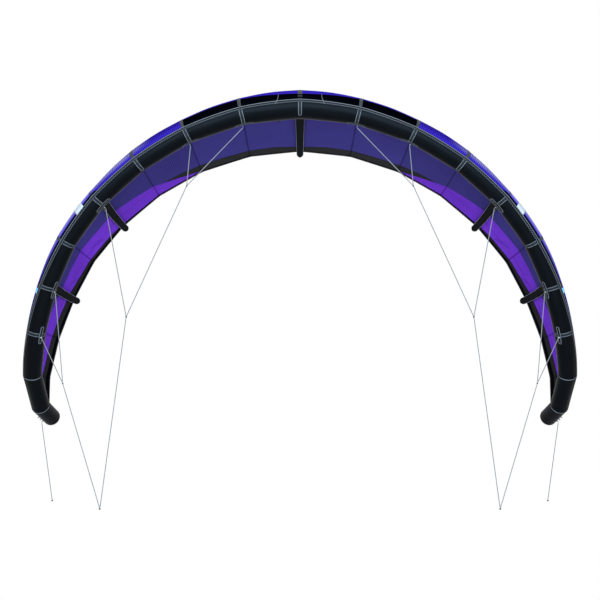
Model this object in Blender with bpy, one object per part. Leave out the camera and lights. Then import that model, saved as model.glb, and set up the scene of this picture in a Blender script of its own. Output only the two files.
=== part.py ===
"""Kitesurfing kite with an inflated leading edge, five struts and a bridle.

The kite hangs in its flying shape. +Y runs along the struts from the leading
edge to the trailing edge, +Z is up and X is the span. The origin is the centre
of the leading edge tube on the plane of symmetry. Lengths are in metres.
"""
import math

import bmesh
import bpy
from mathutils import Matrix, Vector

for old in list(bpy.data.objects):
    bpy.data.objects.remove(old, do_unlink=True)

# Driving sizes of the leading edge
HALF_WIDTH = 2.02
ARCH_DROP = 2.203
TIP_SWEEP = 1.09
ROOT_RADIUS = 0.089
TIP_RADIUS = 0.067
TIP_DOME_LENGTH = 0.040
SLEEVE_WALL = 0.0012
BLADDER_WALL = 0.0008
TUBE_SIDES = 20
BLADDER_SKIP = 2
BOW_SHARE = 1 / 28
PANEL_SWELL = 0.003
STITCH_ANGLE = math.radians(163)

# Driving sizes of the canopy
ROOT_CHORD = 1.48
CANOPY_THICKNESS = 0.001
TRAILING_ANGLE = math.radians(10)
LIFT_OFF_ANGLE = math.radians(4)
CHORD_STEPS = 8
CHORD_CROWDING = 1.5

# Driving sizes of the struts
STRUT_ROOT_RADIUS = 0.047
STRUT_TIP_RADIUS = 0.0255
STRUT_DOME_LENGTH = 0.024
STRUT_FIRST_STEP = 1
STRUT_BLADDER_FIRST_STEP = 2
STRUT_SIDES = 10
TUBE_DOME_STEPS = 3
STRUT_DOME_STEPS = 2

# One clearance between pieces that touch
CLEARANCE = 0.0003
CUT_OVERRUN = 0.02

# Seam places along one half, from the middle to the tip, as shares of the sizes above
out_shares = (0, 0.2054, 0.4015, 0.575, 0.721, 0.838, 0.914, 0.965, 0.9985, 0.991, 0.970)
drop_shares = (0, 0.0218, 0.0818, 0.174, 0.289, 0.423, 0.5655, 0.7123, 0.8545, 0.961, 1)
sweep_shares = (0, 0.013, 0.043, 0.0835, 0.145, 0.234, 0.3266, 0.4385, 0.617, 0.820, 1)
taper_shares = (1, 0.72, 0.52, 0.36, 0.25, 0.19, 0.15, 0.12, 0.09, 0.06, 0)
hem_shares = (1, 0.988, 0.98, 0.98, 0.982, 0.984, 0.973, 0.932, 0.905, 0.83, 0.757)
hem_turn_shares = (1, 1.35, 1.35, 1.35, 1.35, 1.35, 1.45, 1.6, 1.9, 2.6, 3.5)
hem_handle_shares = (0.52, 0.52, 0.52, 0.52, 0.52, 0.52, 0.52, 0.5, 0.45, 0.35, 0.3)
FRONT_HANDLE_SHARE = 0.275
TIP_SEAM = 10
CANOPY_END_SHARE = 0.45

# Corners of the tube's polygon where the canopy is sewn on and where it lifts off
stitch_steps = (0, 0, 0, 0, 0, 0, 1, 2, 3, 4, 5)
lift_off_steps = (2, 2, 2, 2, 3, 3, 3, 3, 3, 4, 5)
lift_off_turn_shares = (1, 1, 1.25, 2, 1, 1, 1, 1, 1, 1, 1)
WRAP_STEPS = 3
PANEL_SEAMS = (0, 2, 4, 6, 8, 10)

# Rings of the tube: at every seam, and half way between seams where the tube is curved
tube_places = tuple(k / 2 for k in range(17)) + (9, 10)
BAY_SEAMS = (("centre", 0, 4), ("middle", 4, 6), ("tip", 6, 10))
STRUT_SEAMS = (("inner", 4), ("outer", 6))
strut_root_shares = {0: 1, 4: 0.96, 6: 0.92}


def material(name, colour, roughness, metallic=0.0):
    """One Principled material per kind of finish."""
    found = bpy.data.materials.get(name)
    if found:
        return found
    made = bpy.data.materials.new(name)
    made.use_nodes = True
    shader = made.node_tree.nodes["Principled BSDF"]
    shader.inputs["Base Color"].default_value = (*colour, 1.0)
    shader.inputs["Roughness"].default_value = roughness
    shader.inputs["Metallic"].default_value = metallic
    made.diffuse_color = (*colour, 1.0)
    return made


def black_dacron():
    return material("black_dacron", (0.010, 0.012, 0.014), 0.55)


def clear_bladder():
    return material("clear_bladder", (0.55, 0.58, 0.60), 0.3)


def indigo_ripstop():
    return material("indigo_ripstop", (0.037, 0.030, 0.19), 0.6)


def violet_ripstop():
    return material("violet_ripstop", (0.12, 0.03, 0.45), 0.6)


def hose_rubber():
    return material("hose_rubber", (0.03, 0.03, 0.035), 0.4)


def clamp_plastic():
    return material("clamp_plastic", (0.02, 0.02, 0.022), 0.45)


def valve_plastic():
    return material("valve_plastic", (0.025, 0.026, 0.028), 0.4)


def bridle_line():
    return material("bridle_line", (0.30, 0.32, 0.33), 0.7)


def link(name, mesh, finish, smooth=True):
    """Put a mesh in the scene as one named object with one finish."""
    made = bpy.data.objects.new(name, mesh)
    bpy.context.collection.objects.link(made)
    mesh.materials.append(finish)
    if smooth:
        mesh.shade_smooth()
        mesh.set_sharp_from_angle(angle=math.radians(40))
    return made


def mesh_from(bm, name):
    """Turn a bmesh into a mesh with merged corners."""
    bmesh.ops.remove_doubles(bm, verts=bm.verts, dist=CLEARANCE / 100)
    mesh = bpy.data.meshes.new(name)
    bm.to_mesh(mesh)
    bm.free()
    return mesh


def outward(bm):
    bmesh.ops.recalc_face_normals(bm, faces=bm.faces)


def mirrored(bm, side):
    """Built for the right side (+X); the left side is its mirror image."""
    if side < 0:
        bmesh.ops.scale(bm, vec=Vector((-1, 1, 1)), verts=bm.verts)
        bmesh.ops.reverse_faces(bm, faces=bm.faces)


def add_strip(bm, first, second):
    """Skin two rows of points, with the diagonal of each cell at its first corner."""
    for a, b, c, d in zip(first, second, second[1:], first[1:]):
        for corners in ((a, b, c), (a, c, d)):
            if len({tuple(p) for p in corners}) == 3:
                bm.faces.new([bm.verts.new(p) for p in corners])


def add_cross_strip(bm, first, second):
    """The same with the diagonal at the other corner."""
    for a, b, c, d in zip(first, second, second[1:], first[1:]):
        for corners in ((a, b, d), (b, c, d)):
            if len({tuple(p) for p in corners}) == 3:
                bm.faces.new([bm.verts.new(p) for p in corners])


def add_cap(bm, ring):
    """Close a ring with a fan about its middle."""
    middle = sum(ring, Vector()) / len(ring)
    for a, b in zip(ring, ring[1:] + ring[:1]):
        bm.faces.new([bm.verts.new(p) for p in (a, b, middle)])


def closed(ring):
    return list(ring) + [ring[0]]


def add_tube(bm, rings):
    for first, second in zip(rings, rings[1:]):
        add_strip(bm, closed(first), closed(second))


def add_annulus(bm, outer, inner):
    add_strip(bm, closed(outer), closed(inner))


def cut(target, cutter):
    """Take a cutter out of a piece and hide the cutter."""
    change = target.modifiers.new("cut_" + cutter.name, "BOOLEAN")
    change.operation = "DIFFERENCE"
    change.solver = "EXACT"
    change.object = cutter
    cutter.hide_render = True
    cutter.display_type = "WIRE"


def join(target, tool):
    """Fuse a tool to a piece and hide the tool."""
    change = target.modifiers.new("join_" + tool.name, "BOOLEAN")
    change.operation = "UNION"
    change.solver = "EXACT"
    change.object = tool
    tool.hide_render = True
    tool.display_type = "WIRE"


def mean_share(shares, place):
    return (shares[math.floor(place)] + shares[math.ceil(place)]) / 2


def curved_share(shares, place, mirror=1):
    """Share at a seam, or half way between two, where the tube bows out between its seams."""
    seam = math.floor(place)
    if place == seam:
        return shares[seam]
    before = shares[seam - 1] if seam else shares[1] * mirror
    straight = mean_share(shares, place)
    return straight + (2 * straight - before - shares[seam + 2]) * BOW_SHARE


def next_place(place):
    return tube_places[tube_places.index(place) + 1]


def last_place(place):
    return tube_places[tube_places.index(place) - 1]


def places_between(first, last):
    return [place for place in tube_places if first <= place <= last]


def seam_centre(place):
    """Centre of the leading edge tube at a place of the right half."""
    return Vector((HALF_WIDTH * curved_share(out_shares, place, -1),
                   TIP_SWEEP * curved_share(sweep_shares, place),
                   -ARCH_DROP * curved_share(drop_shares, place)))


def seam_radius(place):
    swell = PANEL_SWELL if place % 1 else 0
    return TIP_RADIUS + (ROOT_RADIUS - TIP_RADIUS) * mean_share(taper_shares, place) + swell


def seam_frame(seam):
    """Centre, aft, outward and tipward directions of the mitre plane at a seam."""
    here = seam_centre(seam)
    if seam == 0:
        tipward = Vector((1, 0, 0))
    elif seam == TIP_SEAM:
        tipward = (here - seam_centre(seam - 1)).normalized()
    else:
        before = (here - seam_centre(last_place(seam))).normalized()
        after = (seam_centre(next_place(seam)) - here).normalized()
        tipward = (before + after).normalized()
    aft = Vector((0, 1, 0))
    aft = (aft - tipward * aft.dot(tipward)).normalized()
    return here, aft, tipward.cross(aft), tipward


def ring_angle(step):
    return STITCH_ANGLE - math.tau * step / TUBE_SIDES


def ring_point(seam, step, grow):
    """Corner of the tube's polygon, grown by a distance; half steps lie between corners."""
    if step % 1:
        return (ring_point(seam, math.floor(step), grow)
                + ring_point(seam, math.ceil(step), grow)) / 2
    here, aft, out, _ = seam_frame(seam)
    radius = seam_radius(seam) + grow
    angle = ring_angle(step)
    return here + aft * (radius * math.cos(angle)) + out * (radius * math.sin(angle))


def tube_ring(seam, grow, skip=1):
    return [ring_point(seam, step, grow) for step in range(0, TUBE_SIDES, skip)]


def dome_rings(grow, skip=1, steps=TUBE_DOME_STEPS):
    """Rings of the rounded end past the last seam, ending in one point."""
    here, aft, out, tipward = seam_frame(TIP_SEAM)
    radius = seam_radius(TIP_SEAM) + grow
    length = TIP_DOME_LENGTH + grow
    rings = []
    for step in range(1, steps):
        turn = math.pi / 2 * step / steps
        ring = []
        for side in range(0, TUBE_SIDES, skip):
            angle = ring_angle(side)
            spoke = aft * math.cos(angle) + out * math.sin(angle)
            ring.append(here + spoke * (radius * math.cos(turn))
                        + tipward * (length * math.sin(turn)))
        rings.append(ring)
    return rings, here + tipward * length


def moved_towards(ring, goal, distance):
    return [p + (q - p).normalized() * distance for p, q in zip(ring, goal)]


def sleeve_rings(first, last, grow):
    """Rings of one sleeve panel, its two ends drawn in by half a clearance."""
    rings = [tube_ring(place, grow) for place in places_between(first, last)]
    start = moved_towards(rings[0], rings[1], CLEARANCE / 2)
    end = moved_towards(rings[-1], rings[-2], CLEARANCE / 2)
    rings[0] = start
    if last != TIP_SEAM:
        rings[-1] = end
    return rings


def leading_edge_panel(name, first, last, side):
    """Thin walled stretch of the leading edge sleeve between two seams."""
    bm = bmesh.new()
    outer = sleeve_rings(first, last, 0)
    inner = sleeve_rings(first, last, -SLEEVE_WALL)
    if last == TIP_SEAM:
        outer_dome, outer_point = dome_rings(0)
        inner_dome, inner_point = dome_rings(-SLEEVE_WALL)
        outer += outer_dome + [[outer_point] * TUBE_SIDES]
        inner += inner_dome + [[inner_point] * TUBE_SIDES]
    else:
        add_annulus(bm, outer[-1], inner[-1])
    add_tube(bm, outer)
    add_tube(bm, inner)
    add_annulus(bm, outer[0], inner[0])
    bmesh.ops.remove_doubles(bm, verts=bm.verts, dist=CLEARANCE / 100)
    outward(bm)
    mirrored(bm, side)
    return link(name, mesh_from(bm, name), black_dacron())


def half_shell(bm, grow):
    """Right half of a closed skin inside the sleeve, open at the middle."""
    rings = [tube_ring(place, grow, BLADDER_SKIP) for place in tube_places]
    dome, point = dome_rings(grow, BLADDER_SKIP)
    add_tube(bm, rings + dome + [[point] * len(rings[0])])


def full_shell(grow):
    """Both halves of a closed skin, its faces pointing out."""
    bm = bmesh.new()
    half_shell(bm, grow)
    bmesh.ops.remove_doubles(bm, verts=bm.verts, dist=CLEARANCE / 100)
    bmesh.ops.mirror(bm, geom=bm.verts[:] + bm.edges[:] + bm.faces[:], axis="X",
                     merge_dist=CLEARANCE / 100)
    bmesh.ops.remove_doubles(bm, verts=bm.verts, dist=CLEARANCE / 100)
    outward(bm)
    return bm


def leading_edge_bladder():
    """One air bladder from tip to tip; its ports are cut later."""
    outer = full_shell(-SLEEVE_WALL - CLEARANCE)
    inner = full_shell(-SLEEVE_WALL - CLEARANCE - BLADDER_WALL)
    bmesh.ops.reverse_faces(inner, faces=inner.faces)
    spare = bpy.data.meshes.new("bladder_inside")
    inner.to_mesh(spare)
    inner.free()
    outer.from_mesh(spare)
    bpy.data.meshes.remove(spare)
    name = "leading_edge_bladder"
    mesh = bpy.data.meshes.new(name)
    outer.to_mesh(mesh)
    outer.free()
    return link(name, mesh, clear_bladder())


def bezier(p0, p1, p2, p3, t):
    s = 1 - t
    return p0 * s**3 + p1 * 3 * s * s * t + p2 * 3 * s * t * t + p3 * t**3


def bezier_slope(p0, p1, p2, p3, t):
    s = 1 - t
    return ((p1 - p0) * 3 * s * s + (p2 - p1) * 6 * s * t + (p3 - p2) * 3 * t * t).normalized()


def arch_normal(seam):
    """Outward direction square to the struts."""
    _, _, _, tipward = seam_frame(seam)
    return Vector((0, 1, 0)).cross(tipward).normalized() * -1


def chord_share(step):
    """Place of a chord step along the canopy, the steps closer together at the front."""
    return (step / CHORD_STEPS) ** CHORD_CROWDING


def hem_point(seam):
    """Corner of the hem behind a seam."""
    here = seam_centre(seam)
    hem = Vector((here.x, ROOT_CHORD * hem_shares[seam], here.z))
    return hem + arch_normal(seam) * ((STRUT_TIP_RADIUS + 2 * CLEARANCE)
                                      * hem_height_share(seam))


def lift_off(place):
    """Corner of the tube's polygon where the canopy lifts off, the later one in between."""
    return max(lift_off_steps[math.floor(place)], lift_off_steps[math.ceil(place)])


def profile_handles(seam):
    """Bezier handles of the canopy's underside; the hem is straight between seams."""
    here, aft, out, _ = seam_frame(seam)
    start = ring_point(seam, lift_off(seam), CLEARANCE)
    normal = arch_normal(seam)
    hem = (hem_point(math.floor(seam)) + hem_point(math.ceil(seam))) / 2
    chord = hem.y - here.y
    rise = (ring_angle(lift_off(seam)) - math.pi / 2
            - LIFT_OFF_ANGLE * mean_share(lift_off_turn_shares, seam))
    leave = aft * math.cos(rise) + out * math.sin(rise)
    fall = TRAILING_ANGLE * mean_share(hem_turn_shares, seam)
    arrive = Vector((0, math.cos(fall), 0)) - normal * math.sin(fall)
    return (start, start + leave * (chord * FRONT_HANDLE_SHARE),
            hem - arrive * (chord * mean_share(hem_handle_shares, seam)), hem)


def hem_height_share(seam):
    """The hem sits a strut's radius above the strut line, and comes in at the tips."""
    return max(0.0, min(1.0, (TIP_SEAM - 1 - seam) / 3 + 1 / 3))


def tip_row(grow):
    """Last row of the canopy, which lies along the tube up to its rounded tip."""
    step = stitch_steps[TIP_SEAM]
    near = ring_point(TIP_SEAM - 1, step, grow)
    far = ring_point(TIP_SEAM, step, grow)
    start = near.lerp(far, CANOPY_END_SHARE)
    return [start] * (WRAP_STEPS + 1) + [start.lerp(far, chord_share(step))
                                            for step in range(1, CHORD_STEPS + 1)]


def canopy_profile(seam):
    """Points of the canopy's underside and its topside at a seam, front to back."""
    if seam == TIP_SEAM:
        return tip_row(CLEARANCE), tip_row(CLEARANCE + CANOPY_THICKNESS)
    under, top = [], []
    for step in range(WRAP_STEPS + 1):
        held = min(max(mean_share(stitch_steps, seam), step), lift_off(seam))
        under.append(ring_point(seam, held, CLEARANCE))
        top.append(ring_point(seam, held, CLEARANCE + CANOPY_THICKNESS))
    handles = profile_handles(seam)
    for step in range(1, CHORD_STEPS + 1):
        share = chord_share(step)
        point = bezier(*handles, share)
        under.append(point)
        top.append(point + profile_normal(seam, share) * CANOPY_THICKNESS)
    return under, top


def profile_normal(seam, share):
    """Outward normal of the canopy at a seam."""
    _, _, _, tipward = seam_frame(seam)
    slope = bezier_slope(*profile_handles(seam), share)
    return tipward.cross(slope).normalized()


def canopy_bay(name, first, last, side, finish):
    """Skin between two struts, wrapped over the leading edge and cambered to the hem."""
    bm = bmesh.new()
    rows = [canopy_profile(place) for place in places_between(first, last)]
    under = [row[0] for row in rows]
    top = [row[1] for row in rows]
    for skin in (under, top):
        start = moved_towards(skin[0], skin[1], CLEARANCE / 2)
        end = moved_towards(skin[-1], skin[-2], CLEARANCE / 2)
        skin[0] = start
        if last != TIP_SEAM:
            skin[-1] = end
        for near, far in zip(skin, skin[1:]):
            add_strip(bm, near[:WRAP_STEPS + 1], far[:WRAP_STEPS + 1])
            add_cross_strip(bm, near[WRAP_STEPS:], far[WRAP_STEPS:])
    add_strip(bm, under[0], top[0])
    add_strip(bm, under[-1], top[-1])
    add_strip(bm, [row[0] for row in under], [row[0] for row in top])
    add_strip(bm, [row[-1] for row in under], [row[-1] for row in top])
    bmesh.ops.remove_doubles(bm, verts=bm.verts, dist=CLEARANCE / 100)
    outward(bm)
    mirrored(bm, side)
    return link(name, mesh_from(bm, name), finish)


# Sizes of the pump hoses and their pinch clamps
HOSE_RADIUS = 0.008
HOSE_WALL = 0.0022
HOSE_SIDES = 8
PORT_SIDES = 12
CORNER_STEPS = 2
HOSE_BEND = 0.022
HOSE_INSET = 0.009
HOSE_STANDOFF = 0.040
HOSE_SPREAD = 0.088
HOSE_PORT_ANGLE = math.radians(-15)
HOSE_PORT_STEP = 3
HOSE_PORT_STEP_SHARE = 0.25
PINCH_HALF_HEIGHT = 0.0030
PINCH_HALF_WIDTH = 0.0104
PINCH_FLAT = 0.004
PINCH_FADE = 0.010
PINCH_WALL_SHARE = 1.1
CLAMP_LENGTH = 0.036
CLAMP_WALL = 0.0026
CLAMP_DEPTH = 0.0135
CLAMP_PIN_RADIUS = 0.0016
PIN_SIDES = 8
LEVER_THICKNESS = 0.003


def half_turn(seam):
    """Half the angle by which the arch turns at a seam, seen along the struts."""
    after = seam_centre(seam + 1) - seam_centre(seam)
    before = seam_centre(seam) - seam_centre(seam - 1) if seam else on_side(after, -1) * -1
    before.y = after.y = 0
    return before.angle(after) / 2


def strut_radius(seam, share):
    root = STRUT_ROOT_RADIUS * strut_root_shares[seam]
    return root + (STRUT_TIP_RADIUS - root) * share


def strut_station(seam, step):
    """Centre, outward, sideways and aft directions and radius at a chord step."""
    share = chord_share(step)
    point = canopy_profile(seam)[0][WRAP_STEPS + step]
    out = profile_normal(seam, share)
    aft = bezier_slope(*profile_handles(seam), share)
    radius = strut_radius(seam, share)
    centre = point - out * ((radius + 2 * CLEARANCE) / math.cos(half_turn(seam)))
    return centre, out, aft.cross(out), aft, radius


def strut_ring(seam, step, grow):
    centre, out, side, _, radius = strut_station(seam, step)
    ring = []
    for corner in range(STRUT_SIDES):
        angle = math.tau * corner / STRUT_SIDES
        ring.append(centre + (out * math.cos(angle) + side * math.sin(angle)) * (radius + grow))
    return ring


def strut_dome(seam, grow, steps=STRUT_DOME_STEPS):
    """Round end behind the hem, as rings that shrink to a point."""
    centre, out, side, aft, radius = strut_station(seam, CHORD_STEPS)
    rings = []
    for step in range(1, steps + 1):
        turn = math.pi / 2 * step / steps
        reach = (radius + grow) * math.cos(turn) if step < steps else 0
        middle = centre + aft * ((STRUT_DOME_LENGTH + grow) * math.sin(turn))
        rings.append([middle + (out * math.cos(math.tau * k / STRUT_SIDES)
                                + side * math.sin(math.tau * k / STRUT_SIDES)) * reach
                      for k in range(STRUT_SIDES)])
    return rings


def strut_sleeve(name, seam, side):
    """Tapered sleeve under the canopy, round at the hem and open towards the tube."""
    steps = range(STRUT_FIRST_STEP, CHORD_STEPS + 1)
    bm = bmesh.new()
    outer = [strut_ring(seam, step, 0) for step in steps] + strut_dome(seam, 0)
    inner = [strut_ring(seam, step, -SLEEVE_WALL) for step in steps]
    inner += strut_dome(seam, -SLEEVE_WALL)
    add_tube(bm, outer)
    add_tube(bm, inner)
    add_annulus(bm, outer[0], inner[0])
    bmesh.ops.remove_doubles(bm, verts=bm.verts, dist=CLEARANCE / 100)
    outward(bm)
    mirrored(bm, side)
    return link(name, mesh_from(bm, name), black_dacron())


def strut_bladder(name, seam, side):
    """Air bladder of a strut, closed at both ends; its port is cut later."""
    steps = range(STRUT_BLADDER_FIRST_STEP, CHORD_STEPS + 1)
    grow = -SLEEVE_WALL - CLEARANCE
    shells = []
    for shell in (grow, grow - BLADDER_WALL):
        bm = bmesh.new()
        rings = [strut_ring(seam, step, shell) for step in steps] + strut_dome(seam, shell)
        if shell != grow:
            rings[0] = moved_towards(rings[0], rings[1], BLADDER_WALL)
        add_tube(bm, rings)
        add_cap(bm, rings[0])
        bmesh.ops.remove_doubles(bm, verts=bm.verts, dist=CLEARANCE / 100)
        outward(bm)
        if shell != grow:
            bmesh.ops.reverse_faces(bm, faces=bm.faces)
        mirrored(bm, side)
        shells.append(bm)
    spare = bpy.data.meshes.new(name + "_inside")
    shells[1].to_mesh(spare)
    shells[0].from_mesh(spare)
    mesh = bpy.data.meshes.new(name)
    shells[0].to_mesh(mesh)
    bpy.data.meshes.remove(spare)
    return link(name, mesh, clear_bladder())


def saddle_cutter(seam, side):
    """The leading edge tube grown by a clearance, to fish-mouth a strut."""
    bm = bmesh.new()
    rings = [tube_ring(place, CLEARANCE) for place in (seam, next_place(seam))]
    if seam == 0:
        rings = [[on_side(p, -1) for p in rings[1]]] + rings
    else:
        rings = [tube_ring(last_place(seam), CLEARANCE)] + rings
    add_tube(bm, rings)
    add_cap(bm, rings[0])
    add_cap(bm, rings[-1])
    bmesh.ops.remove_doubles(bm, verts=bm.verts, dist=CLEARANCE / 100)
    outward(bm)
    mirrored(bm, side)
    name = "saddle_cutter_%d_%d" % (seam, side)
    return link(name, mesh_from(bm, name), black_dacron())


def tube_place(seam, reach, angle):
    """Point on the tube's axis past a seam, the outward direction there and its radius."""
    here, there = seam_centre(seam), seam_centre(next_place(seam))
    along = (there - here).normalized()
    share = reach / (there - here).length
    aft = Vector((0, 1, 0))
    aft = (aft - along * aft.dot(along)).normalized()
    out = along.cross(aft)
    radius = seam_radius(seam) + (seam_radius(next_place(seam)) - seam_radius(seam)) * share
    return here.lerp(there, share), aft * math.cos(angle) + out * math.sin(angle), along, radius


def strut_port(seam):
    """Middle of the strut at its port, the direction to the port and the radius there."""
    near, _, side, _, first = strut_station(seam, HOSE_PORT_STEP)
    far, _, _, _, second = strut_station(seam, HOSE_PORT_STEP + 1)
    return (near.lerp(far, HOSE_PORT_STEP_SHARE), side,
            first + (second - first) * HOSE_PORT_STEP_SHARE)


def hose_corners(seam):
    """Corner points of a pump hose from the tube's port to the strut's port."""
    base, spoke, _, radius = tube_place(seam, HOSE_SPREAD, HOSE_PORT_ANGLE)
    inside = radius - SLEEVE_WALL - BLADDER_WALL - HOSE_INSET
    centre, side, strut = strut_port(seam)
    return (base + spoke * inside, base + spoke * (radius + HOSE_STANDOFF),
            centre + side * (strut + HOSE_STANDOFF), centre + side * (strut - HOSE_INSET))


def rounded_corner(before, corner, after, radius, steps):
    """Points of an arc that rounds a corner, with its two tangent points."""
    back = (before - corner).normalized()
    ahead = (after - corner).normalized()
    half = back.angle(ahead) / 2
    reach = radius / math.tan(half)
    centre = corner + (back + ahead).normalized() * (radius / math.sin(half))
    start = corner + back * reach
    end = corner + ahead * reach
    points = []
    for step in range(steps + 1):
        share = step / steps
        spoke = (start - centre).slerp(end - centre, share)
        points.append(centre + spoke.normalized() * radius)
    return points


def clamp_frame(seam):
    """Middle of the hose's straight run, its direction, press and pin directions."""
    _, first, second, _ = hose_corners(seam)
    run = (second - first).normalized()
    _, side, _ = strut_port(seam)
    press = (side - run * side.dot(run)).normalized()
    return (first + second) / 2, run, press, run.cross(press)


def pump_hose(name, seam, side):
    """Hose between two ports, pinched flat where its clamp sits."""
    start, first, second, end = hose_corners(seam)
    middle, run, press, _ = clamp_frame(seam)
    path = [start] + rounded_corner(start, first, second, HOSE_BEND, CORNER_STEPS)
    lead = len(path)
    path += [middle + run * place for place in (-PINCH_FLAT - PINCH_FADE, -PINCH_FLAT,
                                                PINCH_FLAT, PINCH_FLAT + PINCH_FADE)]
    path += rounded_corner(first, second, end, HOSE_BEND, CORNER_STEPS) + [end]
    ways = []
    for index in range(len(path)):
        before = path[max(index - 1, 0)]
        after = path[min(index + 1, len(path) - 1)]
        ways.append((after - before).normalized())
    ways[0] = (path[1] - path[0]).normalized()
    frames = [None] * len(path)
    frames[lead] = press
    for index in range(lead + 1, len(path)):
        frames[index] = ways[index - 1].rotation_difference(ways[index]) @ frames[index - 1]
    for index in range(lead - 1, -1, -1):
        frames[index] = ways[index + 1].rotation_difference(ways[index]) @ frames[index + 1]
    squeeze = [0] * lead + [0, 1, 1, 0] + [0] * (len(path) - lead - 4)
    bm = bmesh.new()
    shells = []
    for inset in (0, HOSE_WALL):
        high = HOSE_RADIUS - inset
        flat_high = PINCH_HALF_HEIGHT - PINCH_WALL_SHARE * inset
        flat_wide = PINCH_HALF_WIDTH - inset
        rings = []
        for point, way, up, share in zip(path, ways, frames, squeeze):
            across = way.cross(up)
            tall = high + (flat_high - high) * share
            wide = high + (flat_wide - high) * share
            rings.append([point + up * (tall * math.cos(math.tau * k / HOSE_SIDES))
                          + across * (wide * math.sin(math.tau * k / HOSE_SIDES))
                          for k in range(HOSE_SIDES)])
        add_tube(bm, rings)
        shells.append(rings)
    add_annulus(bm, shells[0][0], shells[1][0])
    add_annulus(bm, shells[0][-1], shells[1][-1])
    bmesh.ops.remove_doubles(bm, verts=bm.verts, dist=CLEARANCE / 100)
    outward(bm)
    mirrored(bm, side)
    return link(name, mesh_from(bm, name), hose_rubber())


def port_cutter(name, point, way, radius, length):
    """Round cutter centred on a point, along a direction."""
    bm = bmesh.new()
    bmesh.ops.create_cone(bm, cap_ends=True, segments=PORT_SIDES, radius1=radius,
                          radius2=radius, depth=length)
    turn = way.to_track_quat("Z", "Y").to_matrix().to_4x4()
    bmesh.ops.transform(bm, matrix=Matrix.Translation(point) @ turn, verts=bm.verts)
    return link(name, mesh_from(bm, name), black_dacron())


def on_side(vector, side):
    return Vector((vector.x * side, vector.y, vector.z))


def hose_ports(seam, side, panel, main_bladder, sleeve, inner):
    """Cut both hose ports through the skins that they pass."""
    start, first, second, end = hose_corners(seam)
    size = HOSE_RADIUS / math.cos(math.pi / PORT_SIDES) + CLEARANCE
    depth = HOSE_INSET + HOSE_STANDOFF
    tag = "%d_%d" % (seam, side)
    tube_way = on_side(first - start, side).normalized()
    strut_way = on_side(second - end, side).normalized()
    tube_hole = port_cutter("tube_port_" + tag, on_side(start, side) + tube_way * depth / 2,
                            tube_way, size, depth + 2 * HOSE_INSET)
    strut_hole = port_cutter("strut_port_" + tag, on_side(end, side) + strut_way * depth / 2,
                             strut_way, size, depth + HOSE_INSET)
    cut(panel, tube_hole)
    cut(main_bladder, tube_hole)
    cut(sleeve, strut_hole)
    cut(inner, strut_hole)


def prism(name, outline, depth, finish):
    """Outline in local X and Y, drawn out along Z on both sides of the plane."""
    bm = bmesh.new()
    face = bm.faces.new([bm.verts.new((x, y, -depth / 2)) for x, y in outline])
    drawn = bmesh.ops.extrude_face_region(bm, geom=[face])
    moved = [v for v in drawn["geom"] if isinstance(v, bmesh.types.BMVert)]
    bmesh.ops.translate(bm, vec=Vector((0, 0, depth)), verts=moved)
    outward(bm)
    bmesh.ops.triangulate(bm, faces=bm.faces, ngon_method="EAR_CLIP")
    return link(name, mesh_from(bm, name), finish)


def rod(name, radius, length, sides, finish):
    """Cylinder along local Z about the origin."""
    bm = bmesh.new()
    bmesh.ops.create_cone(bm, cap_ends=True, segments=sides, radius1=radius, radius2=radius,
                          depth=length)
    return link(name, mesh_from(bm, name), finish)


def axes_matrix(origin, x_way, y_way, z_way):
    turn = Matrix((x_way, y_way, z_way)).transposed().to_4x4()
    return Matrix.Translation(origin) @ turn


def mirror_matrix(matrix, side):
    """Mirror a placement across the plane of symmetry, keeping it right handed."""
    if side > 0:
        return matrix
    flip = Matrix.Diagonal((-1, 1, 1, 1))
    turn_back = Matrix.Diagonal((1, 1, -1, 1))
    return flip @ matrix @ turn_back


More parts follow.
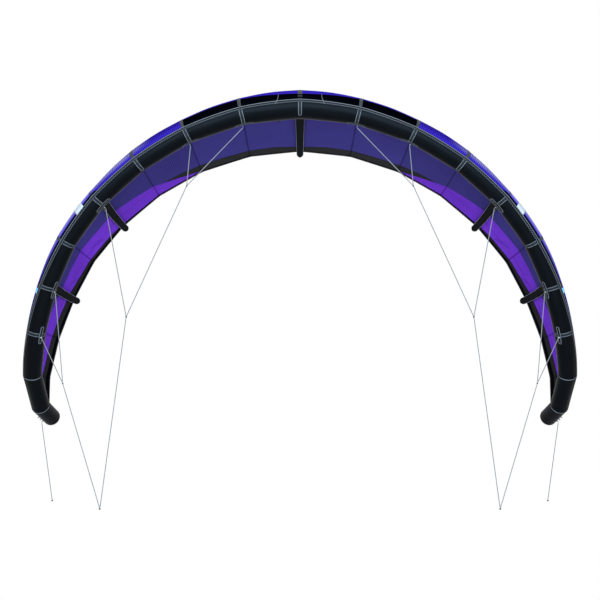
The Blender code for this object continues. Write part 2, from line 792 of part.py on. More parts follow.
def pinch_clamp(tag, seam, side):
    """Channel that holds the hose, and a lever on a pin whose nose pinches it."""
    middle, run, press, pin_way = clamp_frame(seam)
    inner_half = PINCH_HALF_WIDTH + CLEARANCE
    outer_half = inner_half + CLAMP_WALL
    floor_top = -HOSE_RADIUS - CLEARANCE
    floor_low = floor_top - CLAMP_WALL
    place = mirror_matrix(axes_matrix(middle, run, press, pin_way), side)
    pin_along = -CLAMP_LENGTH / 2 + 2 * CLAMP_PIN_RADIUS
    pin_high = HOSE_RADIUS + 2 * CLAMP_PIN_RADIUS

    channel = [(-outer_half, floor_low), (outer_half, floor_low), (outer_half, CLAMP_DEPTH),
               (inner_half, CLAMP_DEPTH), (inner_half, floor_top), (-inner_half, floor_top),
               (-inner_half, CLAMP_DEPTH), (-outer_half, CLAMP_DEPTH)]
    body = prism("hose_clamp_" + tag, channel, CLAMP_LENGTH, clamp_plastic())
    body.matrix_world = mirror_matrix(axes_matrix(middle, pin_way, press, run * -1), side)
    anvil_top = -PINCH_HALF_HEIGHT - CLEARANCE
    anvil = prism("anvil_" + tag, [(-PINCH_FLAT, floor_top - CLAMP_WALL / 2),
                                   (PINCH_FLAT, floor_top - CLAMP_WALL / 2),
                                   (PINCH_FLAT / 2, anvil_top), (-PINCH_FLAT / 2, anvil_top)],
                  2 * inner_half + CLAMP_WALL, clamp_plastic())
    anvil.matrix_world = place
    join(body, anvil)
    socket = rod("pin_socket_" + tag, CLAMP_PIN_RADIUS + CLEARANCE, 2 * outer_half + CUT_OVERRUN,
                 PIN_SIDES, clamp_plastic())
    pin_spot = Matrix.Translation((pin_along, pin_high, 0))
    socket.matrix_world = place @ pin_spot
    cut(body, socket)

    nose_low = PINCH_HALF_HEIGHT + CLEARANCE - pin_high
    plate_low = HOSE_RADIUS + 2 * CLEARANCE - pin_high
    plate_top = plate_low + LEVER_THICKNESS
    nose = -pin_along
    reach = CLAMP_LENGTH + LEVER_THICKNESS
    tail = -CLAMP_PIN_RADIUS - CLEARANCE
    lever_outline = [(tail, plate_low), (nose - PINCH_FLAT, plate_low),
                     (nose - PINCH_FLAT / 2, nose_low), (nose + PINCH_FLAT / 2, nose_low),
                     (nose + PINCH_FLAT, plate_low), (reach, plate_low),
                     (reach + LEVER_THICKNESS, plate_low + LEVER_THICKNESS),
                     (reach + LEVER_THICKNESS, plate_top + LEVER_THICKNESS),
                     (reach - LEVER_THICKNESS, plate_top), (tail, plate_top)]
    lever = prism("clamp_lever_" + tag, lever_outline, 2 * (inner_half - CLEARANCE),
                  clamp_plastic())
    pin = rod("lever_pin_" + tag, CLAMP_PIN_RADIUS, 2 * outer_half, PIN_SIDES, clamp_plastic())
    hinge = bpy.data.objects.new("hinge_" + tag, None)
    bpy.context.collection.objects.link(hinge)
    hinge.matrix_world = place @ pin_spot
    for piece in (lever, pin):
        piece.parent = hinge
    join(lever, pin)
    return body, lever


# Sizes of the inflation valve, radii and heights above the sleeve
VALVE_ANGLE_STEP = 11.5
VALVE_REACH = 0.16
NECK_RADIUS = 0.0165
NECK_BORE = 0.0145
COLLAR_RADIUS = 0.0215
COLLAR_HEIGHT = 0.0055
FLANGE_RADIUS = 0.0205
FLANGE_DEPTH = 0.0094
FLANGE_THICKNESS = 0.0018
INSERT_BORE = 0.0095
INSERT_DEPTH = 0.004
GRIP_RADIUS = 0.0195
GRIP_THICKNESS = 0.003
CAP_RADIUS = 0.0135
CAP_THICKNESS = 0.002
PLUG_DEPTH = 0.003
PLUG_GAP = 0.0004
PLUG_DRAFT = 0.0014
CAP_PIN_RADIUS = 0.0012
EAR_THICKNESS = 0.002
TAB_HALF_WIDTH = 0.0021
VALVE_SIDES = 16
BARREL_SIDES = 12


def spun(name, profile, finish):
    """Closed ring from a profile of radii and heights, turned about local Z."""
    bm = bmesh.new()
    corners = [bm.verts.new((radius, 0, height)) for radius, height in profile]
    edges = [bm.edges.new((a, b)) for a, b in zip(corners, corners[1:] + corners[:1])]
    bmesh.ops.spin(bm, geom=corners + edges, cent=(0, 0, 0), axis=(0, 0, 1), dvec=(0, 0, 0),
                   angle=math.tau, steps=VALVE_SIDES, use_merge=True, use_duplicate=False)
    bmesh.ops.remove_doubles(bm, verts=bm.verts, dist=CLEARANCE / 100)
    outward(bm)
    return link(name, mesh_from(bm, name), finish)


def tube_facet(seam, step, share, side):
    """Point on a flat facet of the sleeve past a seam, with its normal and direction.

    The step names the facet by its middle, half way between two whole steps.
    """
    first, second = math.floor(step), math.ceil(step)
    after = next_place(seam)
    a, b = ring_point(seam, first, 0), ring_point(after, first, 0)
    c, d = ring_point(after, second, 0), ring_point(seam, second, 0)
    half = step - first
    if share > half:
        point = a + (b - a) * share + (c - b) * half
        along, across = b - a, c - b
    else:
        point = a + (c - d) * share + (d - a) * half
        along, across = c - d, d - a
    normal = along.cross(across).normalized()
    if normal.dot(point - seam_centre(seam)) < 0:
        normal = normal * -1
    return on_side(point, side), on_side(normal, side), on_side(along.normalized(), side)


def valve_frame(side):
    share = VALVE_REACH / (seam_centre(next_place(0)) - seam_centre(0)).length
    point, normal, along = tube_facet(0, VALVE_ANGLE_STEP, share, side)
    return axes_matrix(point, normal.cross(along) * -1, along, normal)


def box(name, low, high, finish):
    """Plain block between two corners."""
    bm = bmesh.new()
    bmesh.ops.create_cube(bm, size=1)
    low, high = Vector(low), Vector(high)
    bmesh.ops.scale(bm, vec=high - low, verts=bm.verts)
    bmesh.ops.translate(bm, vec=(low + high) / 2, verts=bm.verts)
    return link(name, mesh_from(bm, name), finish)


def inflation_valve(side, panel, bladder):
    """Flanged neck in the tube, a bayonet insert in its bore and a hinged cap."""
    frame = valve_frame(side)
    plastic = valve_plastic()
    flange_low = -FLANGE_DEPTH - FLANGE_THICKNESS
    base = spun("valve_base", [(NECK_BORE, flange_low), (FLANGE_RADIUS, flange_low),
                               (FLANGE_RADIUS, -FLANGE_DEPTH), (NECK_RADIUS, -FLANGE_DEPTH),
                               (NECK_RADIUS, CLEARANCE), (COLLAR_RADIUS, CLEARANCE),
                               (COLLAR_RADIUS, COLLAR_HEIGHT), (NECK_BORE, COLLAR_HEIGHT)],
                plastic)
    base.matrix_world = frame
    hole = rod("valve_hole", (NECK_RADIUS + CLEARANCE) / math.cos(math.pi / VALVE_SIDES),
               2 * FLANGE_DEPTH, VALVE_SIDES, plastic)
    hole.matrix_world = frame
    cut(panel, hole)
    cut(bladder, hole)

    turning = bpy.data.objects.new("bayonet_axis", None)
    bpy.context.collection.objects.link(turning)
    turning.matrix_world = frame
    grip_low = COLLAR_HEIGHT + CLEARANCE
    grip_top = grip_low + GRIP_THICKNESS
    insert_radius = NECK_BORE - CLEARANCE
    insert = spun("valve_insert", [(INSERT_BORE, -INSERT_DEPTH), (insert_radius, -INSERT_DEPTH),
                                   (insert_radius, grip_low), (GRIP_RADIUS, grip_low),
                                   (GRIP_RADIUS, grip_top), (INSERT_BORE, grip_top)], plastic)
    barrel_radius = CAP_PIN_RADIUS + CLEARANCE + CAP_THICKNESS / 2
    pin_out = GRIP_RADIUS + barrel_radius + 4 * CLEARANCE
    pin_high = grip_top + barrel_radius
    ear_far = pin_out + CAP_PIN_RADIUS + CLEARANCE
    ear_inside = TAB_HALF_WIDTH + CLEARANCE
    for number, way in enumerate((-1, 1)):
        sides = sorted((way * ear_inside, way * (ear_inside + EAR_THICKNESS)))
        ear = box("ear_%d" % number, (GRIP_RADIUS - EAR_THICKNESS, sides[0], grip_low + CLEARANCE),
                  (ear_far, sides[1], pin_high + CAP_PIN_RADIUS + CLEARANCE), plastic)
        ear.parent = turning
        join(insert, ear)
    pin = rod("cap_pin", CAP_PIN_RADIUS, 2 * (ear_inside + EAR_THICKNESS / 2), PIN_SIDES, plastic)
    lying = Matrix.Rotation(math.pi / 2, 4, "X")
    pin.matrix_local = Matrix.Translation((pin_out, 0, pin_high)) @ lying
    join(insert, pin)
    for piece in (insert, pin):
        piece.parent = turning

    flap = bpy.data.objects.new("cap_hinge", None)
    bpy.context.collection.objects.link(flap)
    flap.parent = turning
    flap.matrix_local = Matrix.Translation((pin_out, 0, pin_high))
    cap_low = grip_top + CLEARANCE - pin_high
    cap_top = cap_low + CAP_THICKNESS
    plug_radius = INSERT_BORE - PLUG_GAP
    cap = spun("valve_cap", [(0, cap_low - PLUG_DEPTH), (plug_radius - PLUG_DRAFT,
                                                         cap_low - PLUG_DEPTH),
                             (plug_radius, cap_low), (CAP_RADIUS, cap_low),
                             (CAP_RADIUS, cap_top), (0, cap_top)], plastic)
    cap.data.transform(Matrix.Translation((-pin_out, 0, 0)))
    strap = box("cap_strap", (CAP_RADIUS - CAP_THICKNESS - pin_out, -TAB_HALF_WIDTH, cap_low),
                (0, TAB_HALF_WIDTH, cap_low + CAP_THICKNESS / 2), plastic)
    thumb = box("cap_thumb", (-CAP_RADIUS - 2 * CAP_THICKNESS - pin_out, -2 * TAB_HALF_WIDTH,
                              cap_low), (-CAP_RADIUS + CAP_THICKNESS - pin_out,
                                         2 * TAB_HALF_WIDTH, cap_top), plastic)
    barrel = rod("cap_barrel", barrel_radius, 2 * TAB_HALF_WIDTH, BARREL_SIDES, plastic)
    barrel.matrix_local = lying
    bore = rod("cap_bore", CAP_PIN_RADIUS + CLEARANCE, CUT_OVERRUN, PIN_SIDES, plastic)
    bore.matrix_local = lying
    for piece in (cap, strap, thumb, barrel, bore):
        piece.parent = flap
    for piece in (strap, thumb, barrel):
        join(cap, piece)
    cut(cap, bore)
    return base, insert, cap


# Sizes of the bridle and of the webbing tabs that it is tied to
LINE_RADIUS = 0.0025
KNOT_RADIUS = 0.0075
BEND_LENGTH = 0.010
knot_shares = (-0.8, -0.4, 0, 0.4, 0.8, 0.94)
TAB_WIDTH = 0.012
TAB_LENGTH = 0.016
TAB_THICKNESS = 0.0022
TAB_SETBACK = 0.014
tab_steps = {1: 13.5, 2: 13.5, 4: 13.5, 6: 15.5, 7: 16.5}
BACK_TAB_STEP = 3.5
BACK_TAB_SHARE = 0.9
SPARE_TAB_GAP = 0.034

# Corners of the right half of the bridle, chosen by hand
UPPER_JOIN = Vector((0.805, 0.05, -0.565))
LOWER_JOIN = Vector((1.234, 0.14, -1.491))
OUTER_JOIN = Vector((1.726, 0.38, -1.956))
FRONT_KNOT = Vector((1.407, 0.20, -2.840))
BACK_KNOT = Vector((1.925, 1.02, -2.847))


def webbing_tab(tag, seam, step, share, side, panel):
    """Flat loop of webbing sewn on a facet; returns the middle of its outer end."""
    point, normal, along = tube_facet(seam, step, share, side)
    place = axes_matrix(point, normal.cross(along) * -1, along, normal)
    tab = box("tab_" + tag, (-TAB_WIDTH / 2, -TAB_THICKNESS / 2, -SLEEVE_WALL / 2),
              (TAB_WIDTH / 2, TAB_THICKNESS / 2, TAB_LENGTH), black_dacron())
    tab.matrix_world = place
    join(panel, tab)
    return point + normal * TAB_LENGTH, normal


def cord(name, points, sizes):
    """Line as a tube along its points, with a radius of its own at each."""
    curve = bpy.data.curves.new(name, "CURVE")
    curve.dimensions = "3D"
    curve.bevel_depth = LINE_RADIUS
    curve.bevel_resolution = 2
    curve.use_fill_caps = True
    spline = curve.splines.new("POLY")
    spline.points.add(len(points) - 1)
    for place, point, size in zip(spline.points, points, sizes):
        place.co = (*point, 1)
        place.radius = size / LINE_RADIUS
    made = bpy.data.objects.new(name, curve)
    bpy.context.collection.objects.link(made)
    curve.materials.append(bridle_line())
    return made


def short_of(point, goal, distance):
    """Move a point away from a goal that it must not touch."""
    return goal + (point - goal).normalized() * distance


def beside(point, goal, along):
    """End of a line that meets another line at an angle, one clearance off it."""
    way = (point - goal).normalized()
    angle = way.angle(along)
    angle = min(angle, math.pi - angle)
    reach = LINE_RADIUS + LINE_RADIUS * math.cos(angle) + CLEARANCE
    return goal + way * (reach / math.sin(angle))


def off_tab(tab, goal):
    """Start of a line at a tab's flat end, one clearance off it at its nearest corner."""
    end, normal = tab
    way = (goal - end).normalized()
    angle = way.angle(normal)
    return end + way * ((CLEARANCE + LINE_RADIUS * math.sin(angle)) / math.cos(angle))


def knotted_end(goal, away):
    """Points and radii of a ball knot at a goal, continued away from it."""
    way = away.normalized()
    points, sizes = [], []
    for share in knot_shares:
        points.append(goal + way * (KNOT_RADIUS * share))
        sizes.append(KNOT_RADIUS * math.sqrt(1 - share * share))
    return points, sizes


def bridle(word, side, panels):
    """Six lines of one side, from the leading edge to the front knot."""
    tabs = {}
    for seam, step in tab_steps.items():
        length = (seam_centre(next_place(seam)) - seam_centre(seam)).length
        panel = panels[seam // 2]
        tabs[seam] = webbing_tab("%s_%d" % (word, seam), seam, step, TAB_SETBACK / length, side,
                                 panel)
    upper, lower = on_side(UPPER_JOIN, side), on_side(LOWER_JOIN, side)
    outer, front = on_side(OUTER_JOIN, side), on_side(FRONT_KNOT, side)
    gap = KNOT_RADIUS + 2 * CLEARANCE
    thin = LINE_RADIUS

    ends = {seam: tab[0] for seam, tab in tabs.items()}

    def line(number, points, sizes=None):
        cord("bridle_line_%s_%d" % (word, number), points, sizes or [thin] * len(points))

    bend = (ends[1] - upper).normalized() + (lower - upper).normalized()
    before, after = short_of(ends[1], upper, BEND_LENGTH), short_of(lower, upper, BEND_LENGTH)
    line(1, [off_tab(tabs[1], upper), before, upper + bend * thin / 2, after,
             short_of(upper, lower, gap)])
    line(2, [off_tab(tabs[2], upper), beside(ends[2], upper + bend * thin / 2, ends[1] - upper)])
    line(3, [off_tab(tabs[4], lower), short_of(ends[4], lower, gap)])
    points, sizes = knotted_end(lower, front - lower)
    line(4, points + [beside(lower, front, outer - front)], sizes + [thin])
    bend = (ends[6] - outer).normalized() + (front - outer).normalized()
    before, after = short_of(ends[6], outer, BEND_LENGTH), short_of(front, outer, BEND_LENGTH)
    points, sizes = knotted_end(front, outer - front)
    line(5, [off_tab(tabs[6], outer), before, outer + bend * thin / 2, after] + points[::-1],
         [thin] * 4 + sizes[::-1])
    line(6, [off_tab(tabs[7], outer), beside(ends[7], outer + bend * thin / 2, ends[6] - outer)])


def back_pigtail(word, side, panel):
    """Back line leader at the tip, with the tab it is tied to and two spare tabs."""
    length = (seam_centre(TIP_SEAM) - seam_centre(TIP_SEAM - 1)).length
    for number in (1, 2):
        share = BACK_TAB_SHARE - number * SPARE_TAB_GAP / length
        webbing_tab("spare_%s_%d" % (word, number), TIP_SEAM - 1, BACK_TAB_STEP, share, side,
                    panel)
    tab = webbing_tab("back_" + word, TIP_SEAM - 1, BACK_TAB_STEP, BACK_TAB_SHARE, side, panel)
    knot = on_side(BACK_KNOT, side)
    points, sizes = knotted_end(knot, tab[0] - knot)
    cord("back_pigtail_" + word, points + [off_tab(tab, knot)], sizes + [LINE_RADIUS])


def bay_finish(place):
    return violet_ripstop() if place == "tip" else indigo_ripstop()


main_bladder = leading_edge_bladder()
half_panels = {}
for word, side in (("left", -1), ("right", 1)):
    panels = []
    for number, (first, last) in enumerate(zip(PANEL_SEAMS, PANEL_SEAMS[1:]), 1):
        name = "leading_edge_panel_%s_%d" % (word, number)
        panels.append(leading_edge_panel(name, first, last, side))
    half_panels[word] = panels
    for place, first, last in BAY_SEAMS:
        canopy_bay("canopy_%s_%s" % (place, word), first, last, side, bay_finish(place))
    bridle(word, side, panels)
    back_pigtail(word, side, panels[-1])

strut_list = [("centre", 0, 1, half_panels["right"][0])]
for word, side in (("left", -1), ("right", 1)):
    for place, seam in STRUT_SEAMS:
        strut_list.append(("%s_%s" % (word, place), seam, side, half_panels[word][seam // 2]))
for tag, seam, side, panel in strut_list:
    sleeve = strut_sleeve("strut_" + tag, seam, side)
    inner = strut_bladder("strut_bladder_" + tag, seam, side)
    cut(sleeve, saddle_cutter(seam, side))
    pump_hose("pump_hose_" + tag, seam, side)
    hose_ports(seam, side, panel, main_bladder, sleeve, inner)
    pinch_clamp(tag, seam, side)

inflation_valve(-1, half_panels["left"][0], main_bladder)
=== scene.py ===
# %% [markdown]
# # A kitesurfing kite
#
# An inflatable kite is a tent held open by air. A bent tube, the leading edge, runs from tip to
# tip; five smaller tubes, the struts, stand out from it, and one thin sheet of nylon is stretched
# over them. A web of thin lines, the bridle, hangs from the tube. The fixed model in solids is
# loaded first. Everything made here is placed in its frame: X across, Y from front to back, Z up.

# %% Load the solid model
import math
from itertools import accumulate

import bmesh
import bpy
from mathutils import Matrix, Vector


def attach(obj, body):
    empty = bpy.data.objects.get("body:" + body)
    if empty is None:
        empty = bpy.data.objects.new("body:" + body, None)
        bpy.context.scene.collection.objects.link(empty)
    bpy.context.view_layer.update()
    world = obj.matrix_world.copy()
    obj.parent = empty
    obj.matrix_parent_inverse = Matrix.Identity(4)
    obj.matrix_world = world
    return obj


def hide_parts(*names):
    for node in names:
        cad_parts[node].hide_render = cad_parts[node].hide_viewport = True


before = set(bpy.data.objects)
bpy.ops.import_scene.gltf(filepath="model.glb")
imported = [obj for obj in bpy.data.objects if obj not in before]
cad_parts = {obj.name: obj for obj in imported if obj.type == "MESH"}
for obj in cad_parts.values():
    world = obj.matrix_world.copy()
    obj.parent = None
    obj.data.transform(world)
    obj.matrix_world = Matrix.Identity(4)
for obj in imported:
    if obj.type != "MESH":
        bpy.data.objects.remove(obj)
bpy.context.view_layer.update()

# %% [markdown]
# ## The shape as a few tables
#
# The sewn tube is a chain of cones that meet in mitred seams, eleven on each half, each cut a
# little full so that the air bows it outwards. The kite can therefore be described seam by seam:
# where the middle of the tube is, how thick it is, and how far back the sheet reaches. The same
# sizes made the solids, except where the sheet leaves the tube at seams 1, 2, 3 and 5, which here
# follows the photograph's outline. The functions below turn a place on the right half into a
# point; the left half is its mirror image. Place 2.5 is half way from seam 2 to seam 3.

# %% Sizes of the tube and of the sheet
HALF_WIDTH, ARCH_DROP, TIP_SWEEP = 2.02, 2.203, 1.09
ROOT_RADIUS, TIP_RADIUS, TIP_DOME_LENGTH = 0.089, 0.067, 0.040
out_shares = (0, 0.2054, 0.4015, 0.575, 0.721, 0.838, 0.914, 0.965, 0.9985, 0.991, 0.970)
drop_shares = (0, 0.0218, 0.0818, 0.174, 0.289, 0.423, 0.5655, 0.7123, 0.8545, 0.961, 1)
sweep_shares = (0, 0.013, 0.043, 0.0835, 0.145, 0.234, 0.3266, 0.4385, 0.617, 0.820, 1)
taper_shares = (1, 0.72, 0.52, 0.36, 0.25, 0.19, 0.15, 0.12, 0.09, 0.06, 0)
TIP_SEAM, STRAIGHT_FROM = 10, 8
BOW_SHARE, PANEL_SWELL = 1 / 28, 0.003
STITCH_ANGLE, SIDE_ANGLE = math.radians(163), math.radians(18)
stitch_steps = (0, 0, 0, 0, 0, 0, 1, 2, 3, 4, 5)
lift_off_steps = (2, 2, 2, 2, 3, 3, 3, 3, 3, 4, 5)
lift_off_turn_shares = (1, 1.4, 2.1, 2.4, 1, 0.4, 1, 1, 1, 1, 1)
ROOT_CHORD, FRONT_HANDLE_SHARE, CANOPY_END_SHARE = 1.48, 0.275, 0.45
TRAILING_ANGLE, LIFT_OFF_ANGLE = math.radians(10), math.radians(4)
hem_shares = (1, 0.988, 0.98, 0.98, 0.982, 0.984, 0.973, 0.932, 0.905, 0.83, 0.757)
hem_turn_shares = (1, 1.35, 1.35, 1.35, 1.35, 1.35, 1.45, 1.6, 1.9, 2.6, 3.5)
hem_handle_shares = (0.52, 0.52, 0.52, 0.52, 0.52, 0.52, 0.52, 0.5, 0.45, 0.35, 0.3)
STRUT_ROOT_RADIUS, STRUT_TIP_RADIUS, STRUT_DOME_LENGTH = 0.047, 0.0255, 0.024
strut_root_shares = {0: 1, 4: 0.96, 6: 0.92}
CLEARANCE = 0.0003
SIDES = (("left", -1), ("right", 1))


# %% Places on the tube
AFT = Vector((0, 1, 0))


def mean_share(shares, place):
    return (shares[math.floor(place)] + shares[math.ceil(place)]) / 2


def square_to(way, along):
    """The part of a direction that is square to another one, as a direction."""
    return (way - along * way.dot(along)).normalized()


def mirrored(point, place):
    """A point of the right half, or its mirror image for a place below 0."""
    return Vector((-point.x, point.y, point.z)) if place < 0 else point


def bowed_share(shares, place, mirror=1):
    """Share at a seam, or half way between two, where the tube bows out."""
    seam = math.floor(place)
    if place == seam:
        return shares[seam]
    straight = mean_share(shares, place)
    if seam >= STRAIGHT_FROM:
        return straight
    before = shares[seam - 1] if seam else shares[1] * mirror
    return straight + (2 * straight - before - shares[seam + 2]) * BOW_SHARE


def seam_centre(place):
    return Vector((HALF_WIDTH * bowed_share(out_shares, place, -1),
                   TIP_SWEEP * bowed_share(sweep_shares, place),
                   -ARCH_DROP * bowed_share(drop_shares, place)))


def seam_radius(place):
    swell = PANEL_SWELL if place % 1 and place < STRAIGHT_FROM else 0
    return TIP_RADIUS + (ROOT_RADIUS - TIP_RADIUS) * mean_share(taper_shares, place) + swell


def seam_frame(place):
    """Centre, aft, outward and tipward directions of the mitre plane at a place."""
    here, step = seam_centre(place), 0.5 if place < STRAIGHT_FROM else 1
    if place == 0:
        tipward = Vector((1, 0, 0))
    elif place == TIP_SEAM:
        tipward = (here - seam_centre(place - step)).normalized()
    else:
        back = 0.5 if place <= STRAIGHT_FROM else step
        before = (here - seam_centre(place - back)).normalized()
        tipward = (before + (seam_centre(place + step) - here).normalized()).normalized()
    aft = square_to(AFT, tipward)
    return here, aft, tipward.cross(aft), tipward


def step_angle(step):
    return STITCH_ANGLE - SIDE_ANGLE * step


def skin_point(seam, angle, grow=0.0):
    here, aft, out, _ = seam_frame(seam)
    reach = seam_radius(seam) + grow
    return here + aft * (reach * math.cos(angle)) + out * (reach * math.sin(angle))


def split(place):
    """The seam before a place, and the share of the way to the next one."""
    seam = min(int(place), TIP_SEAM - 1)
    return seam, place - seam


def bowed(at, place):
    """Point between two seams, on the curve through at(seam), its middle and at(next seam)."""
    seam, s = split(place)
    if seam >= STRAIGHT_FROM:
        return at(seam).lerp(at(seam + 1), s)
    return (at(seam) * ((1 - s) * (1 - 2 * s)) + at(seam + 0.5) * (4 * s * (1 - s))
            + at(seam + 1) * (s * (2 * s - 1)))


def tube_point(place, angle, grow=0.0):
    return mirrored(bowed(lambda seam: skin_point(seam, angle, grow), abs(place)), place)


def step_lengths(points):
    return [(b - a).length for a, b in zip(points, points[1:])]


def path_length(points):
    return sum(step_lengths(points))


def panel_length(place):
    seam, _ = split(abs(place))
    return (seam_centre(seam + 1) - seam_centre(seam)).length


spans = [0.0, *accumulate(panel_length(seam) for seam in range(TIP_SEAM))]
print("tube from the middle to a tip: %.3f m" % spans[-1])


def span_metres(place):
    seam, share = split(abs(place))
    return math.copysign(spans[seam] + (spans[seam + 1] - spans[seam]) * share, place)


# %% Places on the sheet
def bezier(handles, t):
    s = 1 - t
    a, b, c, d = handles
    return a * s**3 + b * (3 * s * s * t) + c * (3 * s * t * t) + d * t**3


def bezier_slope(handles, t):
    s = 1 - t
    a, b, c, d = handles
    return ((b - a) * s * s + (c - b) * (2 * s * t) + (d - c) * t * t).normalized()


def hem_height_share(seam):
    return max(0.0, min(1.0, (TIP_SEAM - 1 - seam) / 3 + 1 / 3))


def arch_normal(tipward):
    return tipward.cross(AFT).normalized()


def hem_point(seam):
    normal = arch_normal(seam_frame(seam)[3])
    here = seam_centre(seam)
    return (Vector((here.x, ROOT_CHORD * hem_shares[seam], here.z))
            + normal * (STRUT_TIP_RADIUS + 2 * CLEARANCE) * hem_height_share(seam))


def lift_off(place):
    return mean_share(lift_off_steps, place)


def profile_handles(place):
    """Bezier handles of the sheet's underside; the hem is straight between two seams."""
    here, aft, out, tipward = seam_frame(place)
    lift, turn_share = step_angle(lift_off(place)), mean_share(lift_off_turn_shares, place)
    start = skin_point(place, lift, CLEARANCE)
    normal = arch_normal(tipward)
    hem = (hem_point(math.floor(place)) + hem_point(math.ceil(place))) / 2
    chord = hem.y - here.y
    rise = lift - math.pi / 2 - LIFT_OFF_ANGLE * turn_share
    leave = aft * math.cos(rise) + out * math.sin(rise)
    fall = TRAILING_ANGLE * mean_share(hem_turn_shares, place)
    arrive = Vector((0, math.cos(fall), 0)) - normal * math.sin(fall)
    return (start, start + leave * (chord * FRONT_HANDLE_SHARE),
            hem - arrive * (chord * mean_share(hem_handle_shares, place)), hem)


handles_at = {place / 2: profile_handles(place / 2) for place in range(2 * TIP_SEAM - 1)}


def rib_point(seam, share):
    """Point on the rib at a place; -1 is the stitched edge, 0 the lift-off, 1 the hem."""
    if seam == TIP_SEAM:
        angle = step_angle(stitch_steps[TIP_SEAM])
        near, far = (skin_point(place, angle, 2 * CLEARANCE) for place in (9, TIP_SEAM))
        start = near.lerp(far, CANOPY_END_SHARE)
        return start.lerp(far, max(share, 0))
    if share > 0:
        return bezier(handles_at[seam], share)
    first, last = step_angle(mean_share(stitch_steps, seam)), step_angle(lift_off(seam))
    return skin_point(seam, last - (last - first) * -share, CLEARANCE)


def rib_normal(seam, share):
    _, _, _, tipward = seam_frame(seam)
    return tipward.cross(bezier_slope(handles_at[seam], share)).normalized()


BILLOW, HELD_SHARE, HEM_HOLD_SHARE, FULL_PANEL = 0.003, 0.15, 0.75, 0.4


def sheet_point(place, share, grow=0.0):
    """Point on the sheet, billowed a little between two seams and grown outwards."""
    seam, part = split(abs(place))
    point = bowed(lambda rib: rib_point(rib, share), abs(place))
    ahead = rib_point(seam, share + 0.01) - rib_point(seam, share - 0.01)
    across = rib_point(seam + 1, share) - rib_point(seam, share)
    normal = across.cross(ahead).normalized()
    held = max(0.0, min(1.0, share / HELD_SHARE)) * (1 - HEM_HOLD_SHARE * max(share, 0)**4)
    full = min(1.0, panel_length(place) / FULL_PANEL)
    lift = BILLOW * held * math.sin(math.pi * part)**2 * full
    return mirrored(point + normal * (lift + grow), place)


print("sheet from stitching to hem in the middle: %.3f m"
      % path_length([rib_point(0, k / 50) for k in range(-50, 51)]))

# %% [markdown]
# ## Camera, light and background
#
# The photograph looks up at the kite a little from in front, through a short telephoto lens, on
# plain white. The lamps are large and soft: fabric shows its folds in soft light, and the long
# highlight on the black tube needs one tall lamp in front of it. White is only what the camera and
# mirror-like surfaces see of the world; the light it gives is lower, so colours stay as written.

# %% Camera
bpy.context.scene.view_settings.view_transform = "Standard"
camera = bpy.data.objects.new("camera", bpy.data.cameras.new("camera"))
bpy.context.collection.objects.link(camera)
bpy.context.scene.camera = camera
camera.data.lens, camera.data.sensor_width = 66.0, 36.0
camera.data.clip_end = 200.0
camera.location = (0.0, -7.640, -2.1625)
TILT = math.atan2(112, 1100)
camera.rotation_euler = (math.pi / 2 + TILT, 0.0, 0.0)
print("camera tilted up by %.2f degrees" % math.degrees(TILT))


# %% Helpers for finishes
def linear(text):
    """An sRGB hex colour as linear numbers."""
    parts = (int(text[i:i + 2], 16) / 255 for i in (1, 3, 5))
    return (*(c / 12.92 if c <= 0.04045 else ((c + 0.055) / 1.055)**2.4 for c in parts), 1.0)


class Graph:
    """Short ways to add nodes to a tree; an input is a value or another node's output."""

    def __init__(self, tree):
        self.tree = tree
        self.shader = next((node for node in tree.nodes
                            if node.bl_idname == "ShaderNodeBsdfPrincipled"), None)

    def feed(self, node, inputs):
        for name, value in inputs.items():
            if isinstance(value, bpy.types.NodeSocket):
                self.tree.links.new(value, node.inputs[name])
            else:
                node.inputs[name].default_value = value

    def add(self, kind, inputs=None, **settings):
        made = self.tree.nodes.new("ShaderNode" + kind)
        for name, value in settings.items():
            setattr(made, name, value)
        self.feed(made, inputs or {})
        return made

    def maths(self, operation, *values):
        return self.add("Math", dict(enumerate(values)), operation=operation).outputs[0]

    def ramp(self, value, *limits):
        """Maps a value from the first two limits to the last two."""
        return self.add("MapRange", dict(enumerate((value, *limits)))).outputs[0]

    def blend(self, share, low, high):
        return self.add("Mix", {0: share, 6: low, 7: high}, data_type="RGBA").outputs[2]

    def scaled(self, colour, factor):
        return self.add("VectorMath", {0: colour, 3: factor}, operation="SCALE").outputs[0]

    def uv(self, name):
        return self.add("UVMap", uv_map=name).outputs[0]

    def parts(self, vector):
        return self.add("SeparateXYZ", {0: vector}).outputs

    def spot(self):
        return self.add("TexCoord").outputs["Object"]

    def cells(self, scale, **settings):
        return self.add("TexVoronoi", {"Vector": self.spot(), "Scale": scale},
                        **settings).outputs["Distance"]

    def noise(self, vector, scale, detail):
        return self.add("TexNoise", {"Vector": vector, "Scale": scale,
                                     "Detail": detail}).outputs[0]

    def bump(self, height, strength, distance):
        made = self.add("Bump", {"Height": height, "Strength": strength, "Distance": distance})
        self.feed(self.shader, {"Normal": made.outputs[0]})


def new_finish(name, colour, roughness, **more):
    """A material with its shader's own sockets set, and its graph."""
    material = bpy.data.materials.new(name)
    material.use_nodes = True
    graph = Graph(material.node_tree)
    graph.feed(graph.shader, {
        "Base Color": linear(colour), "Roughness": roughness, "Specular IOR Level": 0.3,
        **{words.replace("_", " ").title().replace("Ior", "IOR"): value
           for words, value in more.items()}})
    return material, graph


